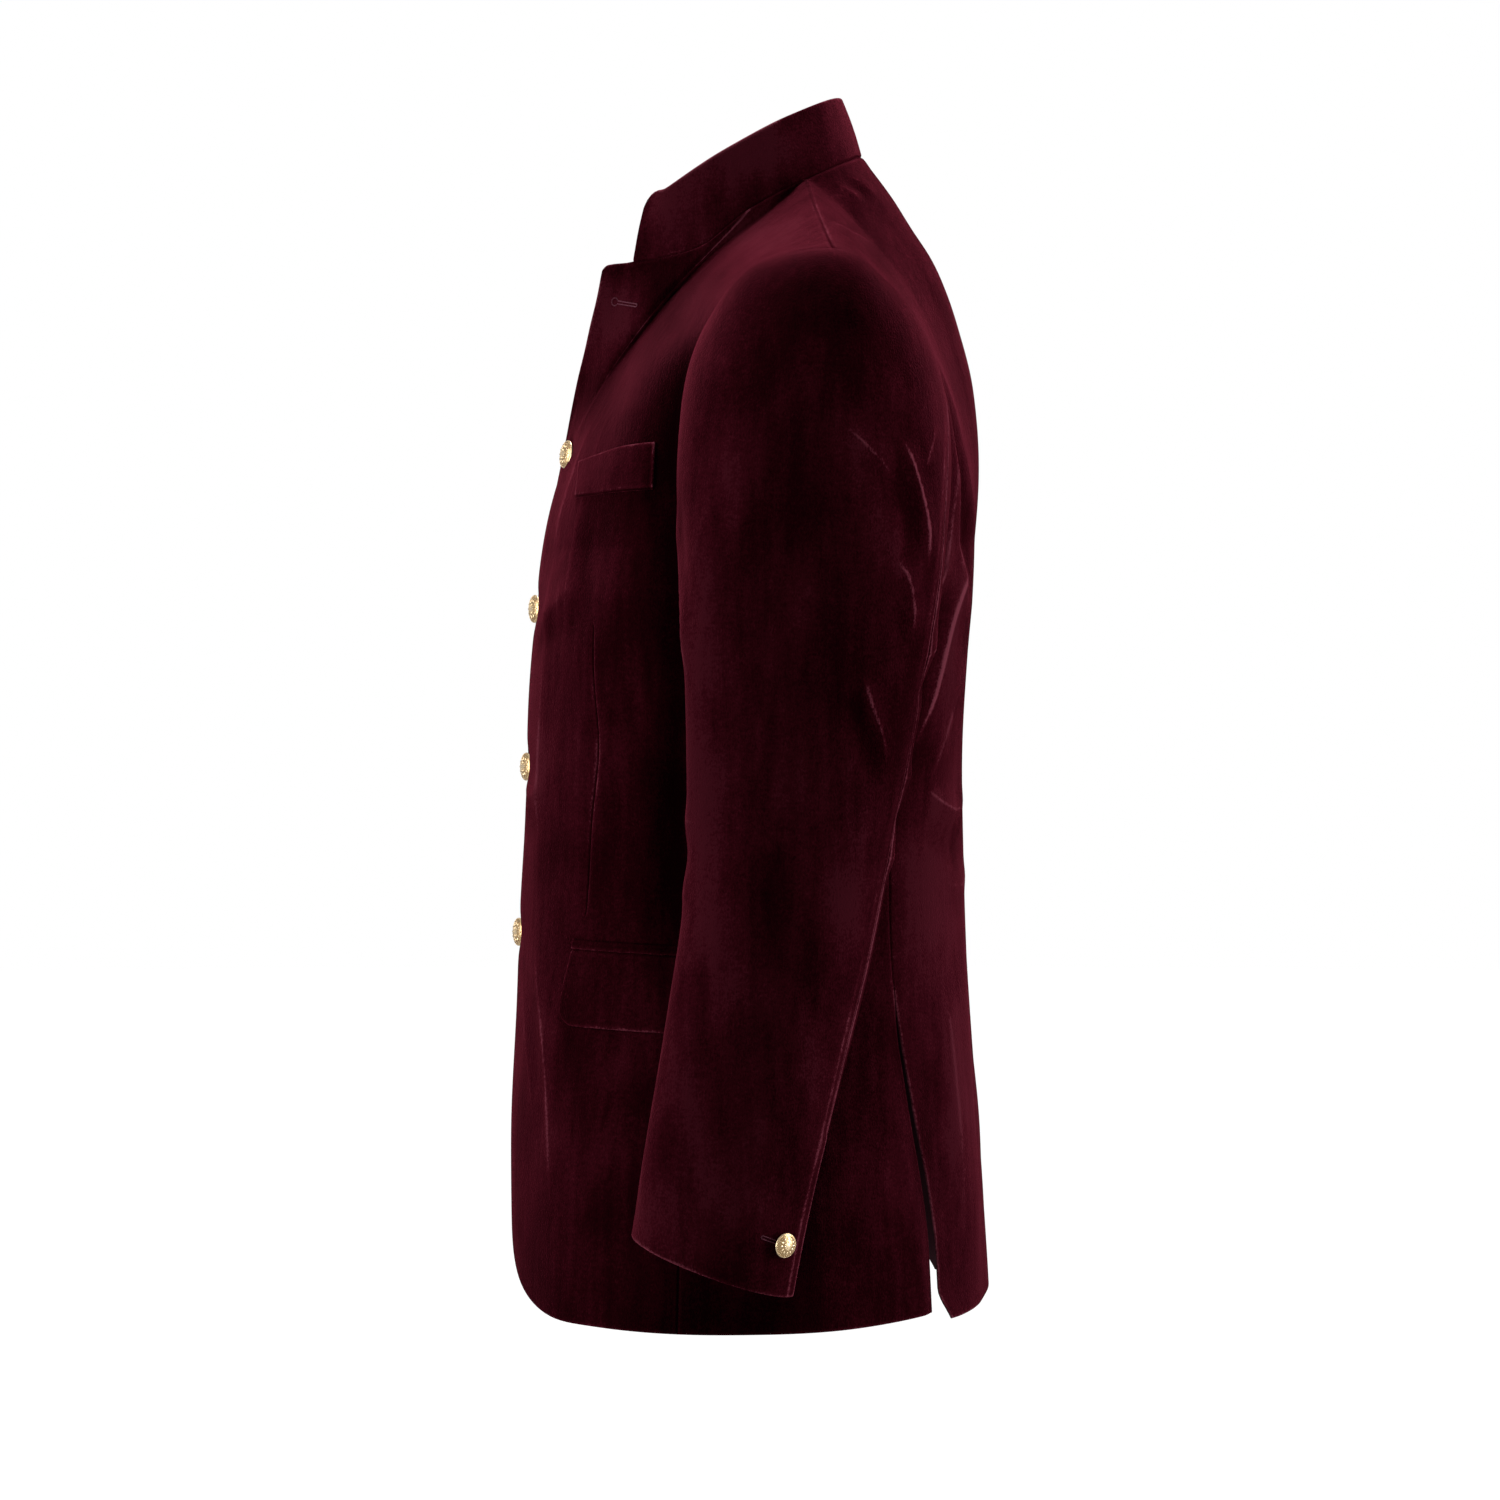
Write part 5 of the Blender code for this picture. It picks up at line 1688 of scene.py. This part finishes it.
def make_hip_pocket(side):
    flap, jetting = laid(flap_points(), side), laid(jetting_points(), side)
    # The flap hangs a little away from the cloth and curls at its lower edge.
    from_top = side_distances(flap)["top"]
    lift = 0.5 * unevenness(flap, FLAP_SEEDS[side]) * ease(from_top / 20)
    lift += FLAP_CURL * ease(from_top / 50)
    kinds = {"first": 1, "last": 1, "bottom": 1}
    shared = {"side": side, "wall": FLAP_WALL, "quiet": ("top",)}
    shade, narrow_shade = painted_patches(flap, "body"), painted_patches(jetting, "body") - JETTING_SHADE
    return (
        cloth_piece(f"cloth_hip_flap_{side}", flap, kinds, lift=lift, painted_shading=shade, **shared),
        cloth_piece(f"cloth_hip_jetting_{side}", jetting, kinds, painted_shading=narrow_shade, **shared),
    )


pockets = {side: make_hip_pocket(side) for side in SIDES}

# %% [markdown]
# ## Metal buttons
# The buttons are stamped brass shells, domed, with a shank that is sewn to the cloth. Each has
# a plain generic ornament: a ring of beads at the rim and a rosette of raised petals round a
# boss. A ring of equal shapes is a job for Geometry Nodes: points on a circle, one bead or petal
# instanced on each, turned towards the centre.

# %% Button body
BUTTON_SEGMENTS = 64
SHANK_RADIUS = 2.0
SHANK_LENGTH = 2.2
BUTTON_FACE = (
    # share of the radius, height, polish
    (0.80, SHANK_LENGTH, 0.0), (0.93, 2.45, 0.4), (0.985, 2.8, 0.7), (1.0, 3.2, 0.8),
    (0.985, 3.6, 0.8), (0.94, 3.9, 0.5), (0.90, 4.0, 0.0), (0.86, 4.0, 0.0), (0.80, 4.35, 0.1),
    (0.66, 4.95, 0.1), (0.48, 5.45, 0.1), (0.30, 5.75, 0.2), (0.14, 5.88, 0.9), (0.0, 5.92, 1.0),
)


def button_profile(radius):
    """Radius, height and polish of the button's body, from the cloth to the middle of its face."""
    shank = [(0, 0, 0), (SHANK_RADIUS, 0, 0), (SHANK_RADIUS, SHANK_LENGTH, 0)]
    return shank + [(share * radius, height, polish) for share, height, polish in BUTTON_FACE]


def lathe(profile, segments):
    """Vertices, faces and polish of a turned body whose first and last points are on the axis."""
    profile = np.array(profile, float)
    angles = np.arange(segments) * 2 * math.pi / segments
    rings = [
        np.stack([radius * np.cos(angles), radius * np.sin(angles), 0 * angles + height], axis=1)
        for radius, height, _ in profile[1:-1]
    ]
    polish = np.repeat(profile[:, 2], [1] + [segments] * len(rings) + [1])
    vertices = np.concatenate([[[0, 0, profile[0][1]]], *rings, [[0, 0, profile[-1][1]]]])
    faces = []
    for step in range(segments):
        after = (step + 1) % segments
        faces.append((0, 1 + after, 1 + step))
        for ring in range(len(rings) - 1):
            low, high = 1 + ring * segments, 1 + (ring + 1) * segments
            faces.append((low + step, low + after, high + after, high + step))
        last = 1 + (len(rings) - 1) * segments
        faces.append((last + step, last + after, len(vertices) - 1))
    return vertices * MM, faces, polish


# %% Brass
BRASS_TONES = ((0.0, (0.40, 0.26, 0.125)), (0.45, (0.60, 0.43, 0.235)), (0.9, (0.78, 0.61, 0.39)))
MOTTLING_SCALE = 700.0


def make_brass():
    """Pale brass, brighter on the raised ornament and darker where polish never reaches."""
    material, tree, shader = new_material("pale_brass")
    mottling = stretched_noise(tree, object_place(tree), 1, MOTTLING_SCALE, 3.0)
    polish = calculate(tree, "MULTIPLY_ADD", mottling, 0.5, mark_on_mesh(tree, "polish"))
    looks = {
        "Base Color": ramp(tree, polish, BRASS_TONES),
        "Roughness": calculate(tree, "MULTIPLY_ADD", mottling, 0.25, 0.3),
        "Metallic": 1.0,
    }
    fill(tree, shader, looks)
    return material


brass = make_brass()
print("button material:", brass.name)

# %% A ring of equal shapes
def geometry_tree(name, **inputs):
    """A Geometry Nodes tree with a mesh in and out, and named inputs of the given kinds."""
    tree = bpy.data.node_groups.new(name, "GeometryNodeTree")
    for label, kind in {"Geometry": "Geometry", **inputs}.items():
        tree.interface.new_socket(label, in_out="INPUT", socket_type="NodeSocket" + kind)
    tree.interface.new_socket("Geometry", in_out="OUTPUT", socket_type="NodeSocketGeometry")
    return tree, tree.nodes.new("NodeGroupInput").outputs


def finished(tree, instances, finish):
    """The tree's end: its instances become one real mesh in one material."""
    real = add_node(tree, "GeometryNodeRealizeInstances", Geometry=instances)
    painted = add_node(
        tree, "GeometryNodeSetMaterial", Geometry=real.outputs["Geometry"], Material=finish
    )
    add_node(tree, "NodeGroupOutput", Geometry=painted.outputs["Geometry"])
    return tree


def with_tree(item, tree, values):
    """Runs a tree on an object with these input values, and keeps the result as a plain mesh."""
    modifier = item.modifiers.new(tree.name, "NODES")
    modifier.node_group = tree
    for socket in tree.interface.items_tree:
        if socket.name in values:
            modifier[socket.identifier] = values[socket.name]
    graph = bpy.context.evaluated_depsgraph_get()
    made = bpy.data.meshes.new_from_object(item.evaluated_get(graph))
    item.modifiers.remove(modifier)
    return made


def make_ring_tree(finish):
    """Shapes on a circle, each turned to point away from its centre."""
    tree, given = geometry_tree(
        "ring_of_shapes", Count="Int", Radius="Float", Height="Float", Size="Vector"
    )
    circle = add_node(
        tree, "GeometryNodeMeshCircle", Vertices=given["Count"], Radius=given["Radius"]
    )
    offset = add_node(tree, "ShaderNodeCombineXYZ", Z=given["Height"])
    lifted = add_node(
        tree, "GeometryNodeSetPosition", Geometry=circle.outputs["Mesh"], Offset=offset.outputs[0]
    )
    shape = add_node(tree, "GeometryNodeMeshUVSphere", Segments=10, Rings=6, Radius=1.0)
    place = add_node(tree, "GeometryNodeInputPosition").outputs[0]
    # A shape's polish is its height on the unit sphere, so its foot stays dark.
    height = add_node(tree, "ShaderNodeSeparateXYZ", Vector=place).outputs["Z"]
    polished = add_node(
        tree, "GeometryNodeStoreNamedAttribute", Name="polish", Geometry=shape.outputs["Mesh"],
        Value=height,
    )
    outward = add_node(
        tree, "FunctionNodeAlignRotationToVector", axis="X", pivot_axis="Z", Vector=place
    )
    placed = add_node(
        tree, "GeometryNodeInstanceOnPoints", Points=lifted.outputs["Geometry"],
        Instance=polished.outputs["Geometry"], Rotation=outward.outputs["Rotation"],
        Scale=given["Size"],
    )
    joined = add_node(tree, "GeometryNodeJoinGeometry", Geometry=placed.outputs["Instances"])
    fill(tree, joined, {"Geometry": given["Geometry"]})
    return finished(tree, joined.outputs["Geometry"], finish)


ring_tree = make_ring_tree(brass)
print("ring inputs:", [socket.name for socket in ring_tree.interface.items_tree])


# %% The ornament on a button
RINGS = (
    # count, ring radius and height of the shapes' middle, then half sizes out, round and up
    (36, 0.905, 4.02, (0.042, 0.034, 0.034)),
    (12, 0.56, 5.12, (0.17, 0.085, 0.05)),
    (12, 0.30, 5.68, (0.10, 0.048, 0.04)),
    (24, 0.745, 4.62, (0.03, 0.03, 0.03)),
)


def button_mesh(diameter):
    """A button with its rings of beads and petals, standing on the origin and facing up."""
    radius = diameter / 2
    vertices, faces, polish = lathe(button_profile(radius), BUTTON_SEGMENTS)
    data = bpy.data.meshes.new("button_blank")
    data.from_pydata(vertices.tolist(), [], faces)
    data.attributes.new("polish", "FLOAT", "POINT").data.foreach_set("value", polish)
    data.materials.append(brass)
    blank = new_item("button_blank", data)
    for count, ring, height, size in RINGS:
        values = {
            "Count": count,
            "Radius": ring * radius * MM,
            "Height": height * MM,
            "Size": tuple(part * radius * MM for part in size),
        }
        blank.data = with_tree(blank, ring_tree, values)
    made = blank.data
    bpy.data.objects.remove(blank)
    made.shade_smooth()
    made.set_sharp_from_angle(angle=math.radians(50))
    return made


FRONT_BUTTON = 18.8
CUFF_BUTTON = 15.5
button_shapes = {size: button_mesh(size) for size in (FRONT_BUTTON, CUFF_BUTTON)}
print({size: len(shape.polygons) for size, shape in button_shapes.items()}, "faces in a button")

# %% [markdown]
# ## Sewing the buttons on
# A button stands on the cloth, so its place and its direction come from the panel that carries
# it. The four that are done up lean a little to the wearer's left, pulled by the buttonhole.
# The fifth is undone and sits on the right front inside the neck, and each cuff has one.

# %% Places of the buttons
TOP_BUTTON = (0.3, 2.9)
CUFF_BUTTON_PLACE = (1.919, 46.0)
BUTTON_TILT = 25
PRESSED_IN = 0.9
UPRIGHT = 0.4
SEAT_STEP = 0.01


def seat(surface, first, second):
    """A point of a surface function on the left side, and its normal away from the body."""
    here = surface(first, second)
    one = surface(first + SEAT_STEP, second) - here
    other = surface(first, second + SEAT_STEP) - here
    normal = np.cross(one, other)
    away = np.sign(normal @ np.array([here[0], here[1], 0]))
    return here, away * unit(normal)


def button_object(name, diameter, place, normal, side="left"):
    """A copy of the button, moved to its place inside its own mesh."""
    normal = unit(normal)
    level = unit(np.cross([0, 0, 1], normal))
    turned = np.stack([level, np.cross(normal, level), normal])
    data = button_shapes[diameter].copy()
    data.name = name
    points = np.empty(3 * len(data.vertices))
    data.vertices.foreach_get("co", points)
    points = points.reshape(-1, 3) @ turned + np.asarray(place) * MM
    if side == "right":
        points = points * FLIPPED
        data.flip_normals()
    data.vertices.foreach_set("co", points.ravel())
    data.update()
    return new_item(name, data)


# %% Make the seven buttons
def make_buttons():
    tilt = math.radians(BUTTON_TILT)
    sine, cosine = math.sin(tilt), math.cos(tilt)
    lean = np.array([[cosine, -sine, 0], [sine, cosine, 0], [0, 0, 1]])
    # The leaning rim presses a little way into the pile.
    lift = FRONT_BUTTON / 2 * sine - SHANK_LENGTH * cosine - PRESSED_IN - DIMPLE_DEPTH
    made = {}
    for number, height in enumerate(FRONT_BUTTON_HEIGHTS, start=2):
        place, normal = seat(on_strip, FRONT_BUTTON_ACROSS, up_at(height))
        name = f"button_front_{number}"
        facing = lean @ normal * [1, 1, UPRIGHT]
        made[name] = button_object("brass_" + name, FRONT_BUTTON, place + lift * normal, facing)
    place, normal = seat(lambda a, b: lapped(on_strip(a, b)), *TOP_BUTTON)
    place = place + LAID_GAP * normal
    made["button_front_1"] = button_object(
        "brass_button_front_1", FRONT_BUTTON, place, normal, "right"
    )
    place, normal = seat(sleeve_point, *CUFF_BUTTON_PLACE)
    for side in SIDES:
        name = f"button_cuff_{side}"
        made[name] = button_object("brass_" + name, CUFF_BUTTON, place, normal, side)
    return made


buttons = make_buttons()
print(len(buttons), "buttons")

# %% [markdown]
# ## Buttonholes
# A tailored buttonhole is a slit with a round eye at its outer end for the shank, and its edge
# is covered in close-set stitches of silk. The slit's outline is a short path on the cloth, and
# Geometry Nodes lay one small stitch across it at every point. On the open corner the whole hole
# shows. The ones in use are mostly under their buttons, and each cuff has a short one.

# %% One stitch across a path, many times
STITCH_GAP = 0.42
STITCH_LENGTH = 0.95
STITCH_RADIUS = 0.23
SILK_NAP = (2600, 900, 160)
SILK_TONES = ((0.2, (0.055, 0.008, 0.017)), (0.8, (0.16, 0.034, 0.060)))


def make_thread():
    material, tree, shader = new_material("silk_thread")
    group = place_nap(tree, *SILK_NAP)
    looks = {
        "Base Color": ramp(tree, group.outputs["Shade"], SILK_TONES),
        "Roughness": 0.55,
        "Specular IOR Level": 0.2,
        "Normal": bumped(tree, group.outputs["Height"], 0.4, 0.0002),
    }
    fill(tree, shader, looks)
    return material


def make_stitch_tree(finish):
    """One stitch on every point, along its "across" direction and standing on its "out" one."""
    tree, given = geometry_tree("stitches_across", Length="Float", Radius="Float")
    stitch = add_node(tree, "GeometryNodeMeshUVSphere", Segments=6, Rings=5, Radius=1.0)
    turned = {}
    for name, axis, pivot in (("out", "Z", "AUTO"), ("across", "X", "Z")):
        read = add_node(
            tree, "GeometryNodeInputNamedAttribute", data_type="FLOAT_VECTOR", Name=name
        )
        turn = add_node(
            tree, "FunctionNodeAlignRotationToVector", axis=axis, pivot_axis=pivot,
            Vector=read.outputs["Attribute"], **turned,
        )
        turned = {"Rotation": turn.outputs["Rotation"]}
    half, radius = calculate(tree, "MULTIPLY", given["Length"], 0.5), given["Radius"]
    size = add_node(tree, "ShaderNodeCombineXYZ", X=half, Y=radius, Z=radius)
    placed = add_node(
        tree, "GeometryNodeInstanceOnPoints", Points=given["Geometry"],
        Instance=stitch.outputs["Mesh"], Scale=size.outputs[0], **turned,
    )
    return finished(tree, placed.outputs["Instances"], finish)


stitch_tree = make_stitch_tree(make_thread())
print("stitch inputs:", [socket.name for socket in stitch_tree.interface.items_tree])

# %% Buttonhole outlines
SLIT_GAP = 0.95
EYE_RADIUS = 2.6
EYE_ANGLES = np.radians(np.arange(40, 321, 14.0))
END_STITCHES = (-0.55, 0.0, 0.55)


def keyhole(length):
    """Outline of a buttonhole and its outward direction, flat, with its eye at the origin."""
    eye = EYE_RADIUS * np.stack([np.cos(EYE_ANGLES), np.sin(EYE_ANGLES)], axis=1)
    count = int((length - EYE_RADIUS) / STITCH_GAP)
    run = np.linspace(EYE_RADIUS, length, count)
    upper = np.stack([run[::-1], 0 * run + SLIT_GAP], axis=1)
    lower = np.stack([run, 0 * run - SLIT_GAP], axis=1)
    end = np.array([[length + 0.4, y] for y in END_STITCHES])
    places = np.concatenate([upper, eye, lower, end])
    outwards = np.concatenate(
        [0 * upper + [0, 1], eye / EYE_RADIUS, 0 * lower + [0, -1], 0 * end + [1, 0]]
    )
    return places, outwards


def laid_on_piece(points, piece):
    """Points moved to the nearest place on a finished piece, with the cloth's normals there."""
    nearest = BVHTree.FromObject(piece, bpy.context.evaluated_depsgraph_get())
    found = [nearest.find_nearest(Vector(point * MM)) for point in points]
    return np.array([hit[0] for hit in found]) / MM, np.array([hit[1] for hit in found])


def stitched_hole(name, piece, surface, start, towards, length, side="left"):
    """A sewn buttonhole on a piece from its eye at start, in the direction of towards."""
    places, outwards = keyhole(length)
    origin, normal = seat(surface, *start)
    ahead = surface(*towards) - origin
    ahead = unit(ahead - normal * (ahead @ normal))
    over = np.cross(normal, ahead)
    flip = FLIPPED if side == "right" else 1
    points = origin + places[:, :1] * ahead + places[:, 1:] * over + normal
    across = (outwards[:, :1] * ahead + outwards[:, 1:] * over) * flip
    points, out = laid_on_piece(points * flip, piece)
    points += STITCH_RADIUS / 2 * out
    data = bpy.data.meshes.new(name)
    data.from_pydata((points * MM).tolist(), [], [])
    for label, values in (("across", across), ("out", out)):
        stored = data.attributes.new(label, "FLOAT_VECTOR", "POINT")
        stored.data.foreach_set("vector", values.ravel())
    item = new_item(name, data)
    values = {"Length": STITCH_LENGTH * MM, "Radius": STITCH_RADIUS * MM}
    item.data = with_tree(item, stitch_tree, values)
    item.data.name = name
    item.data.shade_smooth()
    return item


# %% Sew them
SHOWN_HOLE = ((0.18, 2.905), (0.6, 2.896), 20.5)
HIDDEN_HOLE_LENGTH = 9.0
CUFF_HOLE_LENGTH = 16.0


def make_buttonholes():
    front = fronts["left"]
    made = [stitched_hole("buttonhole_front_1", front, on_strip, *SHOWN_HOLE)]
    for number, height in enumerate(FRONT_BUTTON_HEIGHTS, start=2):
        start, towards = (FRONT_BUTTON_ACROSS - 0.05, up_at(height)), (0.95, up_at(height))
        name = f"buttonhole_front_{number}"
        made.append(stitched_hole(name, front, on_strip, start, towards, HIDDEN_HOLE_LENGTH))
    start, towards = CUFF_BUTTON_PLACE, (CUFF_BUTTON_PLACE[0] - 0.005, 20.0)
    for side in SIDES:
        name, piece = f"buttonhole_cuff_{side}", sleeves["top", side]
        length = CUFF_HOLE_LENGTH
        made.append(stitched_hole(name, piece, sleeve_point, start, towards, length, side))
    return made


buttonholes = make_buttonholes()
print(sum(len(hole.data.polygons) for hole in buttonholes), "faces in the buttonholes")

# %% [markdown]
# ## Which piece stands for which solid
# The pieces replace the plain solids of the same name, and they all move with the one body. Each
# piece of cloth also says what size it was cut to, measured along its own grid.

NARROWEST_CUT = 0.01


def declare(piece, node):
    """One piece of cloth: it moves with the one body, the solid it replaces is hidden, and its cut
    is read.
    """
    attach(piece, "root")
    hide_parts(node)
    width, length, area = cuts[piece.name]
    # A strip narrower than a centimetre is cut from one that wide.
    length = max(length, NARROWEST_CUT)


for side in SIDES:
    declare(fronts[side], f"front_{side}")
    declare(sides[side], f"side_{side}")
    declare(backs[side], f"back_{side}")
    for span in SLEEVE_SPANS:
        declare(sleeves[span, side], f"sleeve_{span}_{side}")
    for piece, node in zip(pockets[side], ("hip_flap", "hip_jetting")):
        declare(piece, f"{node}_{side}")
declare(collar, "collar")
declare(welt, "breast_welt")
for node, piece in buttons.items():
    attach(piece, "root")
    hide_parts(node)
for piece in buttonholes:
    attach(piece, "root")
print(round(sum(area for _, _, area in cuts.values()), 3), "square metres of velvet in all")

# %% [markdown]
# ## Floor, light and camera
# The jacket is shown on plain white, as in a catalogue. A photographer lights such a ground
# separately, so that it is pure white and yet throws little light back at the cloth. Here the
# Light Path node does that: the floor and the world are white to the camera and dim to all
# other rays. Velvet needs light from the sides and above, because its pile answers to grazing
# light: a tall soft light stands before the jacket, one behind it and one above it, and a weak
# one near the camera lights its lower half.

# %% Floor and world
FLOOR_HEIGHT = -1.15
FLOOR_RADIUS = 14.0
DIM_FLOOR = 0.10
DIM_WORLD = 0.035
MIRRORED_SHARE = 0.55
WHITE = (1, 1, 1, 1)


def seen_by_camera(tree, dim):
    """A strength of 1 for the camera, less in mirror-like reflections, and dim otherwise."""
    rays = add_node(tree, "ShaderNodeLightPath").outputs
    mirrored = calculate(tree, "MULTIPLY", rays["Is Glossy Ray"], MIRRORED_SHARE)
    seen = calculate(tree, "MAXIMUM", rays["Is Camera Ray"], mirrored)
    return calculate(tree, "MAXIMUM", seen, dim)


def make_floor():
    angles = np.linspace(0, 2 * math.pi, 96, endpoint=False)
    ring = [(FLOOR_RADIUS * math.cos(a), FLOOR_RADIUS * math.sin(a), FLOOR_HEIGHT) for a in angles]
    data = bpy.data.meshes.new("floor")
    data.from_pydata(ring, [], [range(len(ring))])
    material, tree, shader = new_material("white_ground")
    looks = {
        "Base Color": (0.05, 0.05, 0.05, 1),
        "Roughness": 1.0,
        "Emission Color": WHITE,
        "Emission Strength": seen_by_camera(tree, DIM_FLOOR),
    }
    fill(tree, shader, looks)
    data.materials.append(material)
    new_item("floor", data)


def make_world():
    world = bpy.data.worlds.new("white_studio")
    world.use_nodes = True
    tree = world.node_tree
    looks = {"Color": WHITE, "Strength": seen_by_camera(tree, DIM_WORLD)}
    fill(tree, tree.nodes["Background"], looks)
    bpy.context.scene.world = world


make_floor()
make_world()
print("floor at", FLOOR_HEIGHT, "m")

# %% Lights
LIGHTS = (
    # name, place, what it points at, width, height, watts
    ("front_light", (0.7, -2.7, 0.1), (0.1, 0.0, -0.4), 1.2, 2.4, 80),
    ("back_light", (0.6, 2.8, 0.0), (0.1, 0.0, -0.4), 1.1, 2.4, 92),
    ("top_light", (-0.5, 0.1, 2.4), (0.1, 0.0, -0.2), 1.6, 1.6, 135),
    ("camera_light", (3.4, -0.9, -0.95), (0.1, 0.0, -0.75), 1.4, 1.2, 30),
)


def aimed(item, target):
    """Turns a light or camera so that it looks at target."""
    way = Vector(target) - item.location
    item.rotation_euler = way.to_track_quat("-Z", "Y").to_euler()


def make_lights():
    for name, place, target, width, height, watts in LIGHTS:
        data = bpy.data.lights.new(name, "AREA")
        data.shape = "RECTANGLE"
        data.size, data.size_y, data.energy = width, height, watts
        item = new_item(name, data)
        item.location = place
        aimed(item, target)


make_lights()
bpy.context.scene.view_settings.view_transform = "Standard"
print(len(LIGHTS), "lights")

# %% Camera
CAMERA_DISTANCE = 3.2
CAMERA_HEIGHT = -0.370
LENS = 115.2

camera_data = bpy.data.cameras.new("side_camera")
camera_data.sensor_width = 36
camera_data.lens = LENS
camera = new_item("side_camera", camera_data)
camera.location = (CAMERA_DISTANCE, 0, CAMERA_HEIGHT)
camera.rotation_euler = (math.pi / 2, 0, math.pi / 2)
bpy.context.scene.camera = camera
print("camera at", tuple(round(value, 2) for value in camera.location))
